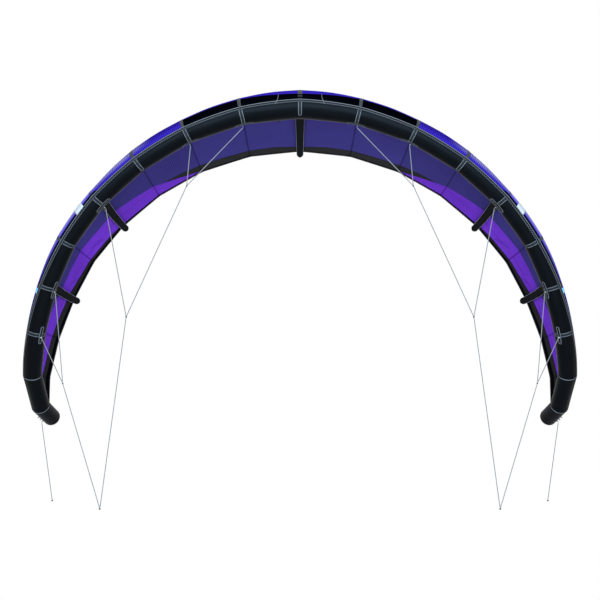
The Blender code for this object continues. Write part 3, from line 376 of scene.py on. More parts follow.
# %% World and lamps
world = bpy.data.worlds.new("studio")
bpy.context.scene.world = world
world.use_nodes = True
world.node_tree.nodes.clear()
sky = Graph(world.node_tree)
path = sky.add("LightPath").outputs
seen = path["Is Camera Ray"]
for ray in ("Is Glossy Ray", "Is Transmission Ray"):
    seen = sky.maths("MAXIMUM", seen, path[ray])
dim, white = (sky.add("Background", {"Color": linear(colour), "Strength": strength}).outputs[0]
              for colour, strength in (("#EEF1F6", 0.52), ("#FFFFFF", 1.0)))
sky.add("OutputWorld", {0: sky.add("MixShader", {0: seen, 1: dim, 2: white}).outputs[0]})


def lamp(name, spot, aim, size, power, colour="#FFFFFF"):
    data = bpy.data.lights.new(name, "AREA")
    data.shape, data.size, data.size_y = "RECTANGLE", size[0], size[1]
    data.energy, data.color = power, linear(colour)[:3]
    made = bpy.data.objects.new(name, data)
    bpy.context.collection.objects.link(made)
    made.location = spot
    made.rotation_euler = (Vector(aim) - Vector(spot)).to_track_quat("-Z", "Y").to_euler()


lamp("front", (0, -9.0, -0.3), (0, 0.2, -0.8), (7, 6), 2050, "#EAF2FF")
lamp("overhead", (0, -1.5, 6.5), (0, 0.4, -0.8), (9, 5), 170)
lamp("below", (0, -1.5, -7.5), (0, 0.6, -0.5), (9, 8), 440)
print("lamps:", len(bpy.data.lights))

# %% Floor
FLOOR_HEIGHT, FLOOR_RADIUS = -4.6, 6.0
bm = bmesh.new()
bmesh.ops.create_circle(bm, cap_ends=True, segments=96, radius=FLOOR_RADIUS)
bmesh.ops.translate(bm, vec=Vector((0, 0, FLOOR_HEIGHT)), verts=bm.verts)
mesh = bpy.data.meshes.new("floor")
bm.to_mesh(mesh)
bm.free()
floor = bpy.data.objects.new("floor", mesh)
bpy.context.collection.objects.link(floor)
floor_paint, _ = new_finish("studio_floor_paint", "#F2F2F2", 0.9)
mesh.materials.append(floor_paint)

# %% [markdown]
# ## The bridle lines
#
# A bridle line is a braided polyester cover, coated against salt, over a core that hardly
# stretches. The steering lines, which aren't part of the kite, pull it straight, and it ends in
# the knot that they are looped on to. A mesh could be swept along it, but a curve through a few
# points gets its round section from one number, so the lines stay easy to move.


# %% Braided line and knot finishes
def braided(name, light, dark):
    """Coated braid: the strands cross in a fine slanted check that the coating softens."""
    material, graph = new_finish(name, light, 0.62)
    # A strand is 0.4 mm wide; drawn at 2 mm so that it shows in close views
    check = graph.cells(500.0)
    graph.feed(graph.shader, {"Base Color": graph.blend(check, linear(light), linear(dark))})
    graph.bump(check, 0.4, 0.0006)
    return material


line_cover = braided("braided_line_cover", "#767B7F", "#565B5F")
knot_cover = braided("braided_line_in_knots", "#3A3E42", "#24272A")

# %% Corners of the bridle
LINE_RADIUS, KNOT_RADIUS = 0.003, 0.0075
knot_shares = (-0.8, -0.4, 0, 0.4, 0.8, 0.94)
TAB_WIDTH, TAB_LENGTH, TAB_SETBACK, TAB_THICKNESS = 0.012, 0.016, 0.014, 0.0022
tab_steps = {1: 13.5, 2: 13.5, 4: 13.5, 6: 15.5, 7: 16.5}
BACK_TAB_STEP, BACK_TAB_SHARE, SPARE_TAB_GAP = 3.5, 0.9, 0.034
UPPER_JOIN = Vector((0.805, 0.05, -0.565))
LOWER_JOIN = Vector((1.234, 0.14, -1.491))
OUTER_JOIN = Vector((1.726, 0.38, -1.956))
FRONT_KNOT = Vector((1.407, 0.20, -2.840))
BACK_KNOT = Vector((1.925, 1.02, -2.847))


def tube_facet(seam, step, share):
    """Point in the middle of a flat side of the solid sleeve, with its normal and direction."""
    places = (seam, seam + (0.5 if seam < STRAIGHT_FROM else 1))
    a, b = (skin_point(place, step_angle(math.floor(step))) for place in places)
    d, c = (skin_point(place, step_angle(math.ceil(step))) for place in places)
    half = step - math.floor(step)
    if share > half:
        point, along, across = a + (b - a) * share + (c - b) * half, b - a, c - b
    else:
        point, along, across = a + (c - d) * share + (d - a) * half, c - d, d - a
    normal = along.cross(across).normalized()
    if normal.dot(point - seam_centre(seam)) < 0:
        normal = normal * -1
    return point, normal, along.normalized()


tab_frames = {seam: tube_facet(seam, step, TAB_SETBACK / (seam_centre(seam + 0.5)
                                                          - seam_centre(seam)).length)
              for seam, step in tab_steps.items()}
back_frames = [tube_facet(TIP_SEAM - 1, BACK_TAB_STEP,
                          BACK_TAB_SHARE - number * SPARE_TAB_GAP / panel_length(9.5))
               for number in range(3)]
tab_ends = {seam: point + normal * TAB_LENGTH for seam, (point, normal, _) in tab_frames.items()}


def short_of(point, goal, distance):
    return goal + (point - goal).normalized() * distance


def beside(point, goal, along):
    """End of a line that meets another line at an angle, one clearance off it."""
    way = (point - goal).normalized()
    angle = way.angle(along)
    angle = min(angle, math.pi - angle)
    reach = LINE_RADIUS + LINE_RADIUS * math.cos(angle) + CLEARANCE
    return goal + way * (reach / math.sin(angle))


def off_tab(end, normal, goal):
    way = (goal - end).normalized()
    angle = way.angle(normal)
    return end + way * ((CLEARANCE + LINE_RADIUS * math.sin(angle)) / math.cos(angle))


def through_knot(goal, away):
    return [goal + away.normalized() * (KNOT_RADIUS * share) for share in knot_shares]


# %% Routes of the seven lines of one side
gap, STRAIGHT_RUN = KNOT_RADIUS + 2 * CLEARANCE, 4 * LINE_RADIUS
upper, lower, outer, front = UPPER_JOIN, LOWER_JOIN, OUTER_JOIN, FRONT_KNOT


def from_tab(seam, goal):
    return off_tab(tab_ends[seam], tab_frames[seam][1], goal)


def through_join(join, seam, goal):
    """Points of a long line round the join where it bends and takes a short line."""
    ways = (tab_ends[seam] - join).normalized() + (goal - join).normalized()
    return [from_tab(seam, join), short_of(tab_ends[seam], join, STRAIGHT_RUN),
            join + ways * LINE_RADIUS / 2, short_of(goal, join, STRAIGHT_RUN)]


upper_route, outer_route = through_join(upper, 1, lower), through_join(outer, 6, front)


back_end = back_frames[0][0] + back_frames[0][1] * TAB_LENGTH
routes = {
    "bridle_line_%s_1": upper_route + [short_of(upper, lower, gap)],
    "bridle_line_%s_2": [from_tab(2, upper), beside(tab_ends[2], upper_route[2],
                                                    tab_ends[1] - upper)],
    "bridle_line_%s_3": [from_tab(4, lower), short_of(tab_ends[4], lower, gap)],
    "bridle_line_%s_4": through_knot(lower, front - lower)
                        + [beside(lower, front, outer - front)],
    "bridle_line_%s_5": outer_route + through_knot(front, outer - front)[::-1],
    "bridle_line_%s_6": [from_tab(7, outer), beside(tab_ends[7], outer_route[2],
                                                    tab_ends[6] - outer)],
    "back_pigtail_%s": [off_tab(back_end, back_frames[0][1], BACK_KNOT)]
                       + through_knot(BACK_KNOT, back_end - BACK_KNOT)[::-1],
}
knot_spots = {"bridle_line_%s_1": (upper, 0.8), "bridle_line_%s_4": (lower, 1.0),
              "bridle_line_%s_5": (front, 1.0), "bridle_line_%s_6": (outer, 0.8),
              "back_pigtail_%s": (BACK_KNOT, 1.0)}


# %% Cord and knot helpers
def on_kite(made, finish, replaces=()):
    """Puts a piece in the scene on the kite's body, in place of the solids that it covers."""
    bpy.context.collection.objects.link(made)
    made.data.materials.append(finish)
    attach(made, "kite")
    if replaces:
        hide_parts(*replaces)
    return made


def curve_piece(name, points, radius, finish, side, replaces=(), cyclic=False):
    """Round cord along its points, on the side asked for."""
    curve = bpy.data.curves.new(name, "CURVE")
    curve.dimensions, curve.bevel_depth, curve.bevel_resolution = "3D", radius, 3
    curve.use_fill_caps = True
    spline = curve.splines.new("POLY")
    spline.points.add(len(points) - 1)
    spline.use_cyclic_u = cyclic
    for corner, point in zip(spline.points, points):
        corner.co = (point.x * side, point.y, point.z, 1)
    return on_kite(bpy.data.objects.new(name, curve), finish, replaces)


KNOT_CORNERS, KNOT_REACH_SHARE, KNOT_SPREAD_SHARE = 48, 0.30, 0.72


def knot(name, middle, size, away, side):
    """Overhand knot: the line crosses itself three times in a small ball."""
    turn = away.to_track_quat("Z", "Y")
    reach = size * KNOT_RADIUS * KNOT_REACH_SHARE
    points = [middle + turn @ Vector((
        reach * (math.sin(t) + 2 * math.sin(2 * t)) * KNOT_SPREAD_SHARE,
        reach * (math.cos(t) - 2 * math.cos(2 * t)) * KNOT_SPREAD_SHARE,
        -reach * math.sin(3 * t))) for t in (math.tau * k / KNOT_CORNERS
                                             for k in range(KNOT_CORNERS))]
    return curve_piece(name, points, LINE_RADIUS * 0.9, knot_cover, side, cyclic=True)


for word, side in SIDES:
    for pattern, route in routes.items():
        name, length = pattern % word, path_length(route)
        line = curve_piece("line_" + name, route, LINE_RADIUS, line_cover, side, [name])
        if pattern in knot_spots:
            spot, size = knot_spots[pattern]
            knot("knot_" + name, spot, size, route[0] - route[-1], side)
        if side > 0:
            print("%s: %.3f m" % (name, length))


# %% [markdown]
# ## Fabric pieces as shaped grids
#
# Sewn fabric is flat cloth bent to a shape, so every soft piece here starts as a flat grid whose
# corners are moved by a formula. The grid keeps clean rows along the cloth's own directions, and
# its place before the move is its texture coordinate, in real metres. A strip of tape with round
# ends is the same thing, with its rows drawn in at the ends; the coordinate then says how far
# each point is from the tape's edge, and the rows of stitching follow that edge.


# %% Grid helpers
def link_piece(bm, name, finish, side=1, replaces=()):
    """Makes an object of a shape, mirrored for the left side."""
    if side < 0:
        bmesh.ops.scale(bm, vec=Vector((-1, 1, 1)), verts=bm.verts)
        bmesh.ops.reverse_faces(bm, faces=bm.faces)
    mesh = bpy.data.meshes.new(name)
    bm.to_mesh(mesh)
    bm.free()
    mesh.shade_smooth()
    return on_kite(bpy.data.objects.new(name, mesh), finish, replaces)


def shaped_grid(columns, rows, shape, weld=True, maps=("cloth",)):
    """Grid whose corners go to shape(i, j) -> point and a place in each texture map."""
    bm = bmesh.new()
    bmesh.ops.create_grid(bm, x_segments=columns, y_segments=rows, size=0.5)
    layers = [bm.loops.layers.uv.new(name) for name in maps]
    formed = {corner: shape(round((corner.co.x + 0.5) * columns),
                            round((corner.co.y + 0.5) * rows)) for corner in bm.verts}
    for face in bm.faces:
        for loop in face.loops:
            for layer, place in zip(layers, formed[loop.vert][1:]):
                loop[layer].uv = place
    for corner, (point, *_) in formed.items():
        corner.co = point
    if weld:
        bmesh.ops.remove_doubles(bm, verts=bm.verts, dist=1e-5)
    bmesh.ops.dissolve_degenerate(bm, dist=1e-6, edges=bm.edges)
    bm.normal_update()
    return bm


def thicken(piece, thickness, offset=1.0):
    wall = piece.modifiers.new("wall", "SOLIDIFY")
    wall.thickness, wall.offset = thickness, offset


# %% [markdown]
# ## Finishes of the fabrics
#
# The tube and the struts are woven polyester filled with resin: nearly black, stiff, with a dull
# gloss on which long highlights run. Seams are covered with tape of the same cloth and sewn with
# pale grey thread. The sheet is ripstop nylon, a thin plain weave with a heavier thread every few
# millimetres that shows as a fine grid, dyed through, so both faces have the same colour.


# %% Woven polyester of the tube and the struts
def woven_polyester(name, colour, roughness, threads=(), gloss=0.1):
    """Resin-filled weave; threads are rows of stitching as (distance, zigzag, strength)."""
    material, graph = new_finish(name, colour, roughness, specular_ior_level=gloss,
                                 specular_tint=(0.55, 0.78, 1.0, 1.0))
    maths, ramp = graph.maths, graph.ramp
    # Threads lie 0.5 mm apart; drawn at 3 mm so that the weave shows at all
    height = graph.cells(330.0, distance="CHEBYCHEV")
    cloud = graph.noise(graph.spot(), 5.0, 4.0)
    tone = graph.scaled(linear(colour)[:3], ramp(cloud, 0.3, 0.7, 0.85, 1.2))
    lines = 0.0
    for distance, zigzag, strength in threads:
        along, across, _ = graph.parts(graph.uv("cloth"))
        off = maths("SUBTRACT", across, distance)
        if zigzag:
            # A stitch of the zigzag is 4 mm long; drawn 18 mm long or more
            wave = maths("PINGPONG", along, zigzag)
            off = maths("ADD", off, maths("MULTIPLY_ADD", wave, 0.8, -zigzag * 0.4))
        # The thread is 1 mm wide; drawn about 3 mm wide so that it shows from a few metres
        mark = ramp(maths("ABSOLUTE", off), 0.0010, 0.0022, strength, 0.0)
        lines = maths("MAXIMUM", mark, lines)
    if threads:
        tone = graph.blend(lines, tone, linear("#8A9298"))
        height = maths("MULTIPLY_ADD", lines, 1.5, height)
    graph.feed(graph.shader, {"Base Color": tone, "Roughness": ramp(
        cloud, 0.25, 0.75, roughness - 0.05, roughness + 0.07)})
    graph.bump(height, 0.25, 0.0006)
    return material


tube_cloth = woven_polyester("black_woven_polyester", "#040506", 0.40, gloss=0.05)
seam_tape = woven_polyester("black_seam_tape", "#14181B", 0.5, ((0.0045, 0, 0.45),))
edge_tape = woven_polyester("canopy_edge_tape", "#0C0F12", 0.44,
                            ((0.004, 0, 0.55), (0.019, 0.009, 0.30)))
patch_cloth = woven_polyester("reinforcing_patch", "#0B0D10", 0.6, ((0.0030, 0, 0.5),))
webbing = woven_polyester("grey_webbing", "#9DA2A6", 0.75)
strap_tape = woven_polyester("grey_strut_tape", "#2C3134", 0.6)
hem_tape = woven_polyester("black_hem_tape", "#08090A", 0.6, ((0.003, 0, 0.15),))

# %% [markdown]
# ## The leading edge sleeve
#
# The sleeve is sewn from straight cones of woven polyester, and the air inside pulls it round. It
# could be made as ten separate panels, but their edges would show light; one skin from tip to tip
# with rows on both sides of every seam keeps the mitres crisp and has no open edge. Close to a
# seam the thread gathers the cloth, so the radius ripples there by less than a millimetre.

# %% Make the sleeve
SLEEVE_COLUMNS = 72
PUCKER_HEIGHT, PUCKER_REACH, PUCKER_COUNT, STITCHED_HALF = 0.0011, 0.045, 31, 0.008
row_shares = (0, 0.02, 0.05, 0.1, 0.17, 0.27, 0.4, 0.6, 0.73, 0.83, 0.9, 0.95, 0.98)
DOME_ROWS = 8


right = [seam + share for seam in range(TIP_SEAM) for share in row_shares] + [TIP_SEAM]
sleeve_places = [-place for place in right[:0:-1]] + right


def pucker(place, angle):
    """Gathered cloth beside the stitching of the nearest seam."""
    gap = abs(place - round(place)) * panel_length(place)
    if not 0.5 < abs(place) < TIP_SEAM - 0.5:
        return 0.0
    wave = math.sin(PUCKER_COUNT * angle + 2.1 * round(place))
    wave += 0.6 * math.sin(0.57 * PUCKER_COUNT * angle + 1.3 * round(place))
    return PUCKER_HEIGHT * wave * math.exp(-(gap / PUCKER_REACH)**2) * min(1, gap / STITCHED_HALF)


def tube_skin(grow, columns, places):
    """Closed tube skin from tip to tip with rounded ends."""
    turns = [math.pi / 2 * k / DOME_ROWS for k in range(1, DOME_ROWS + 1)]
    stations = [(-TIP_SEAM, t) for t in reversed(turns)] + [(p, 0) for p in places]
    stations += [(TIP_SEAM, t) for t in turns]

    def shape(i, j):
        place, turn = stations[j]
        angle = math.tau * i / columns
        if turn:
            here, aft, out, tipward = seam_frame(TIP_SEAM)
            spoke = aft * math.cos(angle) + out * math.sin(angle)
            point = here + spoke * ((seam_radius(TIP_SEAM) + grow) * math.cos(turn))
            point += tipward * ((TIP_DOME_LENGTH + grow) * math.sin(turn))
            point = mirrored(point, place)
        else:
            ripple = pucker(place, angle) if grow == 0 else 0
            point = tube_point(place, angle, grow + ripple)
        return point, (span_metres(place), angle * ROOT_RADIUS)

    bm = shaped_grid(columns, len(stations) - 1, shape)
    bmesh.ops.recalc_face_normals(bm, faces=bm.faces)
    return bm


sleeve = link_piece(tube_skin(0, SLEEVE_COLUMNS, sleeve_places), "leading_edge_sleeve", tube_cloth,
                    replaces=["leading_edge_panel_%s_%d" % (word, number) for word, _ in SIDES
                              for number in range(1, 6)])
print("sleeve faces:", len(sleeve.data.polygons))

# %% [markdown]
# ## Tapes and patches on the sleeve
#
# Each mitred seam is covered by a tape with a rounded end, the front edge of the sheet is bound
# by a strip with a straight and a zigzag row of stitching, and wherever a bridle line pulls, a
# long patch with round ends spreads the load. All are the same strip laid on the tube, so one
# function makes them from a surface that says where a place on the tape is.


# %% Strip helper
def strip(name, finish, surface, length, half_width, side=1, rows=24, columns=8, height=0.0009,
          ends=(False, True), wall=0.0007):
    """Tape on a surface(along, across, grow), its ends rounded where asked."""
    def shape(i, j):
        s = length * j / rows
        past = 0.0
        if ends[1] and s > length - half_width:
            past = s - (length - half_width)
        if ends[0] and s < half_width:
            past = half_width - s
        room = math.sqrt(max(half_width**2 - past**2, 0.0))
        w = room * (2 * i / columns - 1)
        return surface(s, w, height), (s, half_width - math.hypot(w, past))

    bm = shaped_grid(columns, rows, shape)
    bm.faces.ensure_lookup_table()
    face = bm.faces[len(bm.faces) // 2]
    middle = length * 0.5
    outward = surface(middle, 0, 0.01) - surface(middle, 0, 0)
    if face.normal.dot(outward) < 0:
        bmesh.ops.reverse_faces(bm, faces=bm.faces)
    thicken(link_piece(bm, name, finish, side), wall, -1.0)


def stitch_angle(place):
    seam, share = split(abs(place))
    first, last = step_angle(stitch_steps[seam]), step_angle(stitch_steps[seam + 1])
    return first + (last - first) * share


def panel_beside(seam, ahead):
    """Length of the panel on the tip's side of a seam, or on the other side."""
    return panel_length(seam + 0.5 if ahead > 0 or seam == 0 else seam - 0.5)


def round_seam(seam, first_angle):
    """Surface round the tube along a mitred seam."""
    return lambda s, w, grow: tube_point(seam + w / panel_beside(seam, w),
                                         first_angle + s / seam_radius(seam), grow)


def along_tube(seam, angle, half_length):
    """Surface along the tube, centred on a seam."""
    def surface(s, w, grow):
        ahead = s - half_length
        return tube_point(seam + ahead / panel_beside(seam, ahead),
                          angle - w / seam_radius(seam), grow)
    return surface


# %% Seam tapes
SEAM_TAPE_END, CENTRE_TAPE_END = math.radians(262), math.radians(243)
SEAM_TAPE_HALF, TIP_TAPE_HALF, SEAM_TAPE_START = 0.0155, 0.0055, 0.006


def tape_seam(tag, seam, end, half, side=1):
    start = stitch_angle(seam) + SEAM_TAPE_START / seam_radius(seam)
    strip("seam_tape_" + tag, seam_tape, round_seam(seam, start),
          (end - start) * seam_radius(seam), half, side)


for word, side in SIDES:
    for seam in range(1, TIP_SEAM):
        tape_seam("%s_%d" % (word, seam), seam, SEAM_TAPE_END,
                  SEAM_TAPE_HALF if seam < STRAIGHT_FROM else TIP_TAPE_HALF, side)
tape_seam("centre", 0, CENTRE_TAPE_END, SEAM_TAPE_HALF)

# %% Edge tape of the sheet
EDGE_TAPE_WIDTH, EDGE_TAPE_LAP, EDGE_TAPE_LIFT, EDGE_TAPE_FALL = 0.024, 0.004, 0.0034, 0.0012
WEBBING_THICKNESS = 0.0008
edge_places = [-9.4 + 0.1 * k for k in range(189)]


def edge_shape(i, j):
    place, share = edge_places[j], i / 6
    drop = (EDGE_TAPE_WIDTH * share - EDGE_TAPE_LAP) / seam_radius(split(abs(place))[0])
    return (tube_point(place, stitch_angle(place) + drop, EDGE_TAPE_LIFT - EDGE_TAPE_FALL * share),
            (span_metres(place), EDGE_TAPE_WIDTH * share))


thicken(link_piece(shaped_grid(6, len(edge_places) - 1, edge_shape), "canopy_edge_tape",
                   edge_tape), WEBBING_THICKNESS, -1.0)

# %% Patches where the bridle pulls
PATCH_HALF_LENGTH, PATCH_HALF_WIDTH = 0.070, 0.0125
patch_angles = {seam: math.radians(angle) for seam, angle in
                ((1, 262), (2, 262), (4, 246), (6, 242), (7, 226))}
for word, side in SIDES:
    for seam, angle in patch_angles.items():
        strip("bridle_patch_%s_%d" % (word, seam), patch_cloth,
              along_tube(seam, angle, PATCH_HALF_LENGTH), 2 * PATCH_HALF_LENGTH,
              PATCH_HALF_WIDTH, side, rows=36, height=0.0014, ends=(True, True))

# %% [markdown]
# ## Webbing loops
#
# A bridle line is tied to a short loop of flat webbing whose two ends are sewn under the patch.
# The loop is a ribbon on a path that goes up, round and down again, then gets its thickness.

# %% Webbing loops
LOOP_ROWS, LOOP_FOOT_ROWS, LOOP_BULGE = 16, 5, 0.0012


def webbing_loop(name, point, normal, along, side):
    across = normal.cross(along) * -1
    half = TAB_THICKNESS / 2 - CLEARANCE

    def shape(i, j):
        turn = math.pi * max(0.0, min(1.0, (j - LOOP_FOOT_ROWS)
                                      / (LOOP_ROWS - 2 * LOOP_FOOT_ROWS)))
        climb = min(j, LOOP_ROWS - j, LOOP_FOOT_ROWS) / LOOP_FOOT_ROWS
        high = (TAB_LENGTH - half) * climb + (half * math.sin(turn) if climb == 1 else 0)
        aside = math.cos(turn) * (half + LOOP_BULGE * math.sin(math.pi * climb)**2)
        reach = TAB_WIDTH * (i / 4 - 0.5)
        return (point + normal * (high - 0.001) + along * aside + across * reach,
                (reach, j * 0.002))

    bm = shaped_grid(4, LOOP_ROWS, shape, weld=False)
    thicken(link_piece(bm, name, webbing, side), WEBBING_THICKNESS, 0.0)


for word, side in SIDES:
    for seam, (point, normal, along) in tab_frames.items():
        webbing_loop("bridle_loop_%s_%d" % (word, seam), point, normal, along, side)
    for number, (point, normal, along) in enumerate(back_frames):
        webbing_loop("back_loop_%s_%d" % (word, number), point, normal, along, side)

# %% [markdown]
# ## The sheet's finish
#
# The sheet is cut from panels of several colours: indigo, violet and black, joined by narrow
# dark seams. A join is a table of distances from the hem or the front at places along the span.
# Separate meshes could carry the colours; here Float Curve nodes hold the tables and are compared
# with the cloth's own coordinate, which keeps every join sharp however coarse the mesh is.

# %% Ripstop finish
panel_joins = {
    "front_band": ((0, 0.42), (0.3, 0.36), (0.6, 0.28), (0.85, 0.10), (1, 0)),
    "black_hem_band": ((0, 0.102), (0.05, 0.131), (0.1, 0.112), (0.15, 0.129), (0.2, 0.128),
                       (0.24, 0.166), (0.28, 0.173), (1, 0.173)),
    "violet": ((0, 0), (0.197, 0), (0.2, 0.022), (0.28, 0.173), (0.30, 0.210), (0.34, 0.268),
               (0.385, 0.316), (0.42, 0.320), (0.495, 0.332), (0.545, 0.316), (0.59, 0.297),
               (0.62, 0.300), (0.665, 0.316), (0.69, 0.40), (0.73, 1), (1, 1)),
    "black_tip_band": ((0, 0), (0.385, 0), (0.405, 0.050), (0.44, 0.077), (0.50, 0.082),
                       (0.53, 0.097), (0.59, 0.123), (0.66, 0.135), (0.735, 0.132),
                       (0.795, 0.126), (0.9, 0.11), (1, 0.06)),
    "black_front": ((0, 0.070), (0.035, 0.092), (0.1, 0.155), (0.15, 0.160), (0.2, 0.150),
                    (0.2015, 0), (0.385, 0), (0.39, 0.020), (0.55, 0.020), (0.65, 0.012),
                    (1, 0.010)),
    "hem": ((0, 0.018), (0.3, 0.030), (0.45, 0.042), (0.6, 0.048), (0.8, 0.065), (1, 0.06)),
}
panel_colours = {"front_band": "#2C1E96", "black_hem_band": "#2E2E2D", "violet": "#7239C8",
                 "black_tip_band": "#282827", "black_front": "#010204", "hem": "#070708"}
ribbed_parts = ((0, 0.1), (0.195, 0.1), (0.205, 1), (0.385, 1), (0.41, 0.12), (0.48, 0.15),
                (0.53, 0.8), (0.68, 0.6), (0.74, 0.1), (1, 0.1))
folded_parts = ((0, 0), (0.37, 0), (0.42, 1), (0.58, 1), (0.70, 0.8), (0.78, 0), (1, 0))
# Span of the rim where light shining through the cloth is painted in as a paler band
painted_backlight_parts = ((0, 0), (0.26, 0), (0.32, 1), (0.60, 1), (0.66, 0), (1, 0))
ripstop, graph = new_finish("ripstop_nylon", "#403A7E", 0.6, specular_ior_level=0.0)
maths, ramp = graph.maths, graph.ramp


def chain(operation, first, *rest):
    for value in rest:
        first = maths(operation, first, value)
    return first


def along_span(corners):
    """Value that follows straight lines through corners of (share of the span, value)."""
    node = graph.add("FloatCurve", {"Value": place_share})
    line = node.mapping.curves[0]
    while len(line.points) < len(corners):
        line.points.new(0.5, 0.5)
    for corner, place in zip(line.points, corners):
        corner.location, corner.handle_type = place, "VECTOR"
    node.mapping.update()
    return node.outputs[0]


place_share, from_hem, _ = graph.parts(graph.uv("cloth"))
span_way, from_front, _ = graph.parts(graph.uv("weave"))
tone, edges = linear("#403A7E"), 0.0
for name, corners in panel_joins.items():
    inside = maths("SUBTRACT", along_span(corners), from_front if "front" in name else from_hem)
    tone = graph.blend(ramp(inside, -0.0008, 0.0008), tone, linear(panel_colours[name]))
    edges = maths("MAXIMUM", ramp(maths("ABSOLUTE", inside), 0.002, 0.005, 0.45, 0.0), edges)
# Joins at the seams of the tube are double sewn and drawn about 14 mm wide
from_seam = graph.parts(graph.uv("seams"))[0]
edges = maths("MAXIMUM", ramp(from_seam, 0.005, 0.009, 0.5, 0.0), edges)
# Ripstop threads lie 5 mm apart; drawn 14 mm apart so that they show at a few metres
rib = ramp(maths("PINGPONG", span_way, 0.007), 0.0, 0.0045, 1.0, 0.0)
weft = ramp(maths("PINGPONG", from_front, 0.007), 0.0, 0.0018, 0.10, 0.0)
ribs = maths("MULTIPLY", rib, along_span(ribbed_parts))
# Slack cloth between two struts draws into slanted creases ahead of the hem; their mask bumps the surface
# and also paints shade into the folds
span_out = maths("ABSOLUTE", span_way)
slant = graph.add("CombineXYZ", {
    0: maths("SUBTRACT", span_out, from_hem),
    1: maths("MULTIPLY", maths("ADD", span_out, from_hem), 0.16)}).outputs[0]
crease_bump_and_fold_shade = chain("MULTIPLY", ramp(graph.noise(slant, 17.0, 1.5), 0.55, 0.68),
                along_span(folded_parts), ramp(from_hem, 0.30, 0.20), ramp(from_hem, 0.04, 0.09))
# In the photograph the ribs are bolder along the front
boldness = ramp(from_front, 0.15, 0.30, 0.85, 0.42)
# Ribs, weft and seam edges darken the cloth as its own threads and joins; the creases add painted shade, a
# darkening where shade falls in the folds
threads_joins_and_fold_shade = chain("MAXIMUM", maths("MULTIPLY", ribs, boldness), weft, edges,
              maths("MULTIPLY", crease_bump_and_fold_shade, 0.30))
# In the photograph the cloth behind the rim is paler, as single cloth with light behind it is; that light
# is painted into the colour here as a paler band
painted_backlight = chain("MULTIPLY", ramp(from_front, 0.02, 0.07, 0.0, 0.65),
             ramp(from_front, 0.14, 0.24, 1.0, 0.0), along_span(painted_backlight_parts))
# Painted light: the pale colour stands in for light shining through the cloth from behind
tone = graph.blend(painted_backlight, tone, linear("#A9A6DC"))
tone = graph.blend(threads_joins_and_fold_shade, tone, linear("#0C0A18"))
cloud = graph.noise(graph.uv("weave"), 3.5, 5.0)
graph.feed(graph.shader, {"Base Color": graph.scaled(tone, ramp(cloud, 0.3, 0.7, 0.93, 1.07))})
graph.bump(maths("MULTIPLY_ADD", crease_bump_and_fold_shade, 4.0, maths("MULTIPLY_ADD", ribs, 0.5, edges)),
           0.3, 0.0008)
print("joins on the sheet:", ", ".join(panel_joins))

# %% [markdown]
# ## The sheet
#
# The sheet wraps a little way over the tube, is sewn there, rises over it and falls in a shallow
# curve to the hem, and comes to a point along the tube at each tip. It is one continuous piece
# of cloth from tip to tip. Between two seams it billows by a few millimetres, and near the hem
# of the outer bays slack cloth draws into slanted folds.

# %% Make the sheet
COLUMNS_PER_SEAM, WRAP_ROWS, CHORD_ROWS = 12, 6, 60
FOLD_HEIGHT, FOLDS_START, FOLDS_END, FOLDS_FRONT_SHARE = 0.0022, 3.5, 8.5, 0.4
SHEET_LIFT, SHEET_THICKNESS = 0.0016, 0.0010
sheet_places = [k / COLUMNS_PER_SEAM - TIP_SEAM for k in range(2 * TIP_SEAM * COLUMNS_PER_SEAM + 1)]
sheet_shares = [k / WRAP_ROWS - 1 for k in range(WRAP_ROWS)]
sheet_shares += [(k / CHORD_ROWS)**1.2 for k in range(CHORD_ROWS + 1)]


def folds(place, share):
    """Slanted slack folds near the hem of the outer bays."""
    out = abs(place)
    if not FOLDS_START < out < FOLDS_END or share < FOLDS_FRONT_SHARE:
        return 0.0
    strength = math.sin(math.pi * (out - FOLDS_START) / (FOLDS_END - FOLDS_START))
    strength *= min(1, (share - FOLDS_FRONT_SHARE) / 0.3) * (1.02 - share)**0.4
    wave = math.sin(9.5 * out + 16 * share) + 0.5 * math.sin(15.0 * out - 21 * share + 0.7)
    return FOLD_HEIGHT * strength * wave


sheet_grid = [[sheet_point(place, share, SHEET_LIFT + folds(place, share))
               for share in sheet_shares] for place in sheet_places]
from_hem_at, from_front_at = [], []
for column in sheet_grid:
    steps = step_lengths(column)
    from_front_at.append([sum(steps[:k]) for k in range(len(column))])
    from_hem_at.append([sum(steps[k:]) for k in range(len(column))])


def sheet_shape(i, j):
    place = sheet_places[i]
    seam, share = split(abs(place))
    side_share = min(share, 1 - share)
    width = (rib_point(seam + 1, sheet_shares[j]) - rib_point(seam, sheet_shares[j])).length
    return (sheet_grid[i][j], (abs(place) / TIP_SEAM, from_hem_at[i][j]),
            (span_metres(place), from_front_at[i][j]), (side_share * width, 0))


canopy = link_piece(shaped_grid(len(sheet_places) - 1, len(sheet_shares) - 1, sheet_shape,
                                maps=("cloth", "weave", "seams")), "canopy", ripstop,
                    replaces=["canopy_%s_%s" % (bay, word) for word, _ in SIDES
                              for bay in ("centre", "middle", "tip")])
thicken(canopy, SHEET_THICKNESS, -1.0)
flat_span = path_length([column[-20] for column in sheet_grid])

# %% [markdown]
# ## Tapes on the sheet
#
# The hem is folded and bound with black tape, and a dull grey tape runs back over the sheet from
# nearly every seam of the tube, where the panels of the sheet meet. On the real kite they are
# sewn down; here each is a thin strip that lies on the sheet and follows its curve.

# %% Tapes along the seams of the sheet
rib_shares = [k / 60 - 1 for k in range(60)] + [k / 90 for k in range(91)]
rib_distances = [[0.0, *accumulate(step_lengths([rib_point(seam, share) for share in rib_shares]))]
                 for seam in range(TIP_SEAM)]


def share_at(seam, distance):
    far = rib_distances[seam]
    for a, b, low, high in zip(far, far[1:], rib_shares, rib_shares[1:]):
        if distance <= b:
            return low + (high - low) * (distance - a) / max(b - a, 1e-9)
    return 1.0


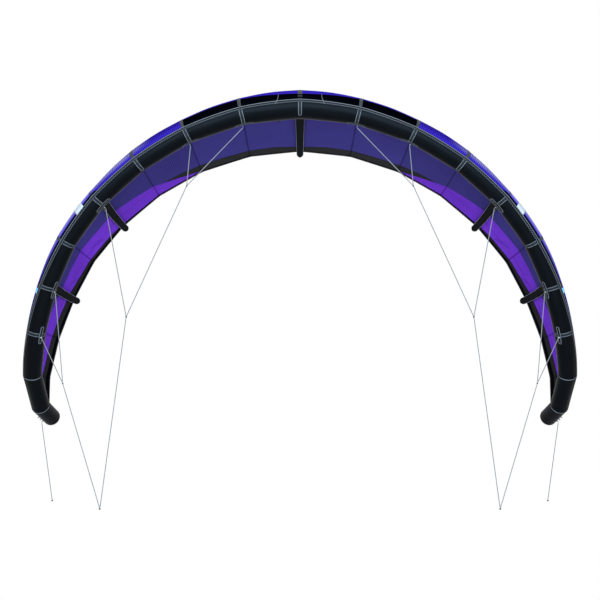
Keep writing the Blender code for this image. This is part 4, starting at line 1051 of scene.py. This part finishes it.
def on_sheet(seam, first=0.0):
    """Surface on the sheet, along a seam of its panels."""
    def surface(s, w, grow):
        share = share_at(seam, first + s)
        other = seam + 1 if w > 0 or seam == 0 else seam - 1
        width = (rib_point(other, share) - rib_point(seam, share)).length
        return sheet_point(seam + w / max(width, 0.05), share, grow + SHEET_LIFT)
    return surface


TAPE_HALF, TAPE_LENGTHS = 0.0115, {0: 1.35, 1: 0.42, 2: 0.36, 3: 0.30, 4: 1.2, 5: 0.26, 6: 1.0,
                                  7: 0.22, 8: 0.18}
for seam, length in TAPE_LENGTHS.items():
    for word, side in (SIDES if seam else (("middle", 1),)):
        half = TAPE_HALF * (1 if 0 < seam < 6 else 1.4 - 0.05 * seam)
        strip("sheet_tape_%s_%d" % (word, seam), strap_tape, on_sheet(seam, 0.003), length, half,
              side, rows=48, columns=6, height=0.0006, wall=0.0004)

# %% Bound hem
HEM_WIDTH = 0.014
hem_places = [k / 8 - 9.6 for k in range(154)]


def hem_shape(i, j):
    """Ribbon folded round the hem: up one face, over the edge and back on the other."""
    place = hem_places[j]
    seam, _ = split(abs(place))
    chord = (rib_point(seam, 1) - rib_point(seam, 0.9)).length / 0.1
    back = (0, 0.3, 0.7, 1, 1, 1, 0.7, 0.3, 0)[i]
    lift = (0.0014, 0.0020, 0.0021, 0.0015, 0, -0.0015, -0.0021, -0.0020, -0.0014)[i]
    share = 1 - HEM_WIDTH * (1 - back) / chord
    point = sheet_point(place, min(share, 1), 0.0011 + lift)
    return point, (span_metres(place), 0.0045 if i in (1, 7) else 0.0)


link_piece(shaped_grid(8, len(hem_places) - 1, hem_shape), "hem_binding", hem_tape)

# %% Plain patches on the rim
patch_white, _ = new_finish("white_coated_patch", "#A4AEB6", 0.6)
patch_blue, _ = new_finish("pale_blue_coated_patch", "#5FAFDD", 0.4)
for word, side in SIDES:
    for tag, finish, seam, offset, first, length, half in (
            ("patch", patch_white, 4, 0.135, 0.003, 0.066, 0.040),
            ("mark", patch_blue, 6, 0.048, 0.006, 0.045, 0.021)):
        base = on_sheet(seam, first)
        strip("rim_%s_%s" % (tag, word), finish,
              lambda s, w, grow: base(s, w + offset, grow), length, half, side,
              rows=10, columns=6, height=0.0012, ends=(False, False), wall=0.0006)

# %% Piping across the front band
pale_thread, _ = new_finish("pale_sewing_thread", "#6A7278", 0.7)
FRONT_PIPING_RADIUS = 0.0013
for word, side in SIDES:
    points = [sheet_point(0.35 + 0.03 * (k / 16)**2, 0.03 - 1.03 * k / 16, 0.0026)
              for k in range(17)]
    points += [tube_point(0.385 + 0.004 * k, stitch_angle(0.39) + 0.06 * k, 0.0045)
               for k in range(1, 5)]
    curve_piece("front_piping_" + word, points, FRONT_PIPING_RADIUS, pale_thread, side)

# %% [markdown]
# ## Struts
#
# A strut is a tapering tube sewn to the underside of the sheet. Its sleeve ends in a rounded cap
# behind the hem and spreads a little where it is sewn round the leading edge. A piped seam runs
# down each side where the sheet is caught, and a strap with a rounded end is sewn underneath.


# %% Strut places
def half_turn(seam):
    """Half the angle by which the arch turns at a seam, seen along the struts."""
    after = seam_centre(seam + 1) - seam_centre(seam)
    before = seam_centre(seam) - seam_centre(seam - 1) if seam else Vector((after.x, 0, -after.z))
    before.y = after.y = 0
    return before.angle(after) / 2


def strut_frame(seam, share):
    """Centre, outward, sideways and aft directions and radius on a strut."""
    root = STRUT_ROOT_RADIUS * strut_root_shares[seam]
    radius = root + (STRUT_TIP_RADIUS - root) * share
    out, aft = rib_normal(seam, share), bezier_slope(handles_at[seam], share)
    centre = bezier(handles_at[seam], share) - out * ((radius + 2 * CLEARANCE)
                                                      / math.cos(half_turn(seam)))
    return centre, out, aft.cross(out), aft, radius


FLARE_HEIGHT, FLARE_SHARE, FLARE_FADE_SHARE = 0.010, 0.05, 0.035


def strut_point(seam, share, angle, grow=0.0):
    """Point on a strut; angle 0 is under the sheet. Shares past 1 run round the end cap."""
    centre, out, side, aft, radius = strut_frame(seam, min(share, 1))
    spoke = out * math.cos(angle) + side * math.sin(angle)
    if share > 1:
        turn = math.pi / 2 * (share - 1)
        return (centre + spoke * ((radius + grow) * math.cos(turn))
                + aft * ((STRUT_DOME_LENGTH + grow) * math.sin(turn)))
    fade = max(0, share - FLARE_SHARE) / FLARE_FADE_SHARE
    flare = FLARE_HEIGHT * math.exp(-fade) if grow >= 0 else 0
    return centre + spoke * (radius + grow + flare * (0.5 - 0.5 * math.cos(angle)))


# %% Make the struts
STRUT_COLUMNS = 40
STRUT_FIRST_SHARE, BLADDER_FIRST_SHARE = 0.0442, 0.125
strut_shares = [STRUT_FIRST_SHARE + (1 - STRUT_FIRST_SHARE) * (k / 48)**1.3 for k in range(49)]
strut_shares += [1 + k / 8 for k in range(1, 9)]
struts = [("centre", 0, 1)] + [("%s_%s" % (word, place), seam, side) for word, side in SIDES
                               for place, seam in (("inner", 4), ("outer", 6))]
strut_cloth = woven_polyester("black_strut_cloth", "#141516", 0.8, gloss=0.02)
piping_cloth = woven_polyester("grey_piping", "#757B80", 0.6)
flange_cloth = woven_polyester("black_strut_flange", "#050607", 0.8, gloss=0.0)
strap_cloth = woven_polyester("strut_strap", "#15181A", 0.8, ((0.009, 0.012, 0.6),), 0.02)


def strut_skin(seam, shares, grow, columns):
    def shape(i, j):
        angle = math.tau * i / columns
        return strut_point(seam, shares[j], angle, grow), (angle * 0.04, shares[j])

    return shaped_grid(columns, len(shares) - 1, shape)


def on_strut(seam, first):
    """Surface along the underside of a strut."""
    def surface(s, w, grow):
        share = first + s / STRAP_SPAN
        return strut_point(seam, share, math.pi + w / strut_frame(seam, min(share, 1))[4], grow)
    return surface


def beside_strut(seam, first):
    """Surface on the underside of the sheet, drawn in with the strut that it frames."""
    base = on_sheet(seam, first)

    def surface(s, w, grow):
        share = min(1.0, s / FLANGE_SPAN)
        narrow = strut_frame(seam, share)[4] / STRUT_ROOT_RADIUS
        return base(s, w * narrow * (1 - 0.12 * share), grow)
    return surface


STRAP_SPAN, STRAP_START_SHARE, STRAP_LENGTH, STRAP_HALF = 1.35, 0.11, 0.34, 0.011
FLANGE_SPAN, FLANGE_START, FLANGE_LENGTH, FLANGE_HEIGHT = 1.2, 0.20, 1.16, -0.0022
PIPING_RADIUS, PIPING_LIFT, PIPING_START_SHARE, PIPING_ANGLE = 0.0024, 0.0008, 0.09, 98
flange_halves = {0: 0.062, 4: 0.052, 6: 0.052}
for tag, seam, side in struts:
    link_piece(strut_skin(seam, strut_shares, 0, STRUT_COLUMNS), "strut_sleeve_" + tag,
               strut_cloth, side, ["strut_" + tag])
    strip("strut_strap_" + tag, strap_cloth, on_strut(seam, STRAP_START_SHARE), STRAP_LENGTH,
          STRAP_HALF, side, rows=40, columns=6, height=0.0010)
    strip("strut_flange_" + tag, flange_cloth, beside_strut(seam, FLANGE_START),
          FLANGE_LENGTH, flange_halves[seam], side, rows=48, columns=16, height=FLANGE_HEIGHT,
          ends=(False, False))
    for number, angle in enumerate((math.radians(PIPING_ANGLE), math.radians(-PIPING_ANGLE))):
        shares = [PIPING_START_SHARE + (1 - PIPING_START_SHARE) * k / 40 for k in range(41)]
        shares += [1 + k / 8 for k in range(1, 6)]
        curve_piece("strut_piping_%s_%d" % (tag, number),
                    [strut_point(seam, share, angle, PIPING_LIFT) for share in shares],
                    PIPING_RADIUS, piping_cloth, side)
print("struts:", len(struts))

# %% [markdown]
# ## Bladders
#
# The air is held by bladders of clear urethane film inside the sleeves. They hardly show, but a
# kite is built round them, so each is a closed skin of its own a few millimetres inside its
# sleeve, with a finish that lets light through.

# %% Bladders
film, _ = new_finish("urethane_film", "#E6E9E4", 0.15, transmission_weight=0.85, ior=1.5)
FILM_INSET = 0.0024
places = [k * 0.25 - TIP_SEAM for k in range(8 * TIP_SEAM + 1)]
link_piece(tube_skin(-FILM_INSET, 24, places), "main_bladder_film", film,
           replaces=["leading_edge_bladder"])
shares = [BLADDER_FIRST_SHARE + (1 - BLADDER_FIRST_SHARE) * k / 16 for k in range(17)]
shares += [1 + k / 4 for k in range(1, 5)]
for tag, seam, side in struts:
    bm = strut_skin(seam, shares, -FILM_INSET, 16)
    bmesh.ops.holes_fill(bm, edges=bm.edges)
    link_piece(bm, "strut_bladder_film_" + tag, film, side, ["strut_bladder_" + tag])
print("bladders:", 1 + len(struts))

# %% [markdown]
# ## Pump hoses
#
# One filling valve serves the whole kite, because a short hose joins the leading edge to each
# strut. A clamp pinches the hose flat, so each strut keeps its air if another part leaks. The
# hose is a round tube of soft rubber on a path with two rounded corners, flattened at the clamp.

# %% Hose sizes
HOSE_RADIUS, HOSE_BEND, HOSE_INSET, HOSE_STANDOFF, HOSE_SPREAD = 0.008, 0.022, 0.009, 0.040, 0.088
HOSE_PORT_ANGLE, HOSE_PORT_STEP, HOSE_PORT_STEP_SHARE = math.radians(-15), 3, 0.25
PINCH_HALF_HEIGHT, PINCH_HALF_WIDTH, PINCH_FLAT, PINCH_FADE = 0.0030, 0.0104, 0.004, 0.010
SLEEVE_WALL, BLADDER_WALL = 0.0012, 0.0008


def hose_corners(seam):
    """Corner points of a hose from the tube's port to the strut's port, and the strut's side."""
    here, there = seam_centre(seam), seam_centre(seam + 0.5)
    along = (there - here).normalized()
    share = HOSE_SPREAD / (there - here).length
    aft = square_to(AFT, along)
    spoke = aft * math.cos(HOSE_PORT_ANGLE) + along.cross(aft) * math.sin(HOSE_PORT_ANGLE)
    radius = seam_radius(seam) + (seam_radius(seam + 0.5) - seam_radius(seam)) * share
    base = here.lerp(there, share)
    inside = radius - SLEEVE_WALL - BLADDER_WALL - HOSE_INSET
    near, far = (strut_frame(seam, (step / 8)**1.5)
                 for step in (HOSE_PORT_STEP, HOSE_PORT_STEP + 1))
    centre = near[0].lerp(far[0], HOSE_PORT_STEP_SHARE)
    strut = near[4] + (far[4] - near[4]) * HOSE_PORT_STEP_SHARE
    return (base + spoke * inside, base + spoke * (radius + HOSE_STANDOFF),
            centre + near[2] * (strut + HOSE_STANDOFF), centre + near[2] * (strut - HOSE_INSET),
            near[2])


def rounded_corner(before, corner, after, steps=10):
    """Points of an arc that rounds a corner."""
    back, ahead = (before - corner).normalized(), (after - corner).normalized()
    half = back.angle(ahead) / 2
    reach = HOSE_BEND / math.tan(half)
    centre = corner + (back + ahead).normalized() * (HOSE_BEND / math.sin(half))
    start, end = corner + back * reach - centre, corner + ahead * reach - centre
    return [centre + start.slerp(end, step / steps).normalized() * HOSE_BEND
            for step in range(steps + 1)]


# %% Make the hoses
rubber, _ = new_finish("hose_rubber", "#191B1D", 0.55)
HOSE_WALL, HOSE_COLUMNS, PINCH_REACH = 0.0020, 24, PINCH_FLAT + PINCH_FADE


def hose_skin(seam):
    start, first, second, end, side = hose_corners(seam)
    run, middle = (second - first).normalized(), (first + second) / 2
    lead, tail = rounded_corner(start, first, second), rounded_corner(first, second, end)
    flats = [k / 8 * PINCH_REACH for k in range(-8, 9)]
    path = [start] + lead + [middle + run * s for s in flats] + tail + [end]
    pressed = len(lead) + 1
    squeeze = [0] * pressed + [max(0, min(1, (PINCH_REACH - abs(s)) / PINCH_FADE))
                               for s in flats] + [0] * (len(tail) + 1)
    ways = [(path[min(k + 1, len(path) - 1)] - path[max(k - 1, 0)]).normalized()
            for k in range(len(path))]
    ups = {pressed: square_to(side, run)}
    for k in range(pressed + 1, len(path)):
        ups[k] = ways[k - 1].rotation_difference(ways[k]) @ ups[k - 1]
    for k in range(pressed - 1, -1, -1):
        ups[k] = ways[k + 1].rotation_difference(ways[k]) @ ups[k + 1]

    def shape(i, j):
        share = squeeze[j]**2 * (3 - 2 * squeeze[j])
        tall = HOSE_RADIUS + (PINCH_HALF_HEIGHT - HOSE_RADIUS) * share
        wide = HOSE_RADIUS + (PINCH_HALF_WIDTH - HOSE_RADIUS) * share
        angle = math.tau * i / HOSE_COLUMNS
        across = ways[j].cross(ups[j])
        return (path[j] + ups[j] * (tall * math.cos(angle)) + across * (wide * math.sin(angle)),
                (i / HOSE_COLUMNS, j / len(path)))

    bm = shaped_grid(HOSE_COLUMNS, len(path) - 1, shape)
    bmesh.ops.recalc_face_normals(bm, faces=bm.faces)
    return bm


for tag, seam, side in struts:
    thicken(link_piece(hose_skin(seam), "hose_" + tag, rubber, side, ["pump_hose_" + tag]), HOSE_WALL, -1.0)
print("hoses:", len(struts))

# %% [markdown]
# ## Moulded parts
#
# The clamps, their levers and the filling valve are moulded in glass-filled nylon, which comes
# out of the mould with a fine matt grain. Their solids already have the right shape, so they
# keep it and only get their finish.


# %% Moulded finish
def moulded(name, colour, roughness):
    material, graph = new_finish(name, colour, roughness)
    # Mould grain is 0.2 mm; drawn at 0.8 mm
    graph.bump(graph.noise(graph.spot(), 1200.0, 2.0), 0.3, 0.0003)
    return material


clamp_nylon = moulded("moulded_clamp_nylon", "#141517", 0.48)
lever_nylon = moulded("moulded_lever_nylon", "#1B1D20", 0.42)
valve_nylon = moulded("moulded_valve_nylon", "#151719", 0.4)
cap_nylon = moulded("moulded_cap_nylon", "#202327", 0.38)
for name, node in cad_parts.items():
    for words, finish in (("hose_clamp", clamp_nylon), ("clamp_lever", lever_nylon),
                          ("valve_base", valve_nylon), ("valve_insert", valve_nylon),
                          ("valve_cap", cap_nylon)):
        if name.startswith(words):
            node.data.materials.clear()
            node.data.materials.append(finish)
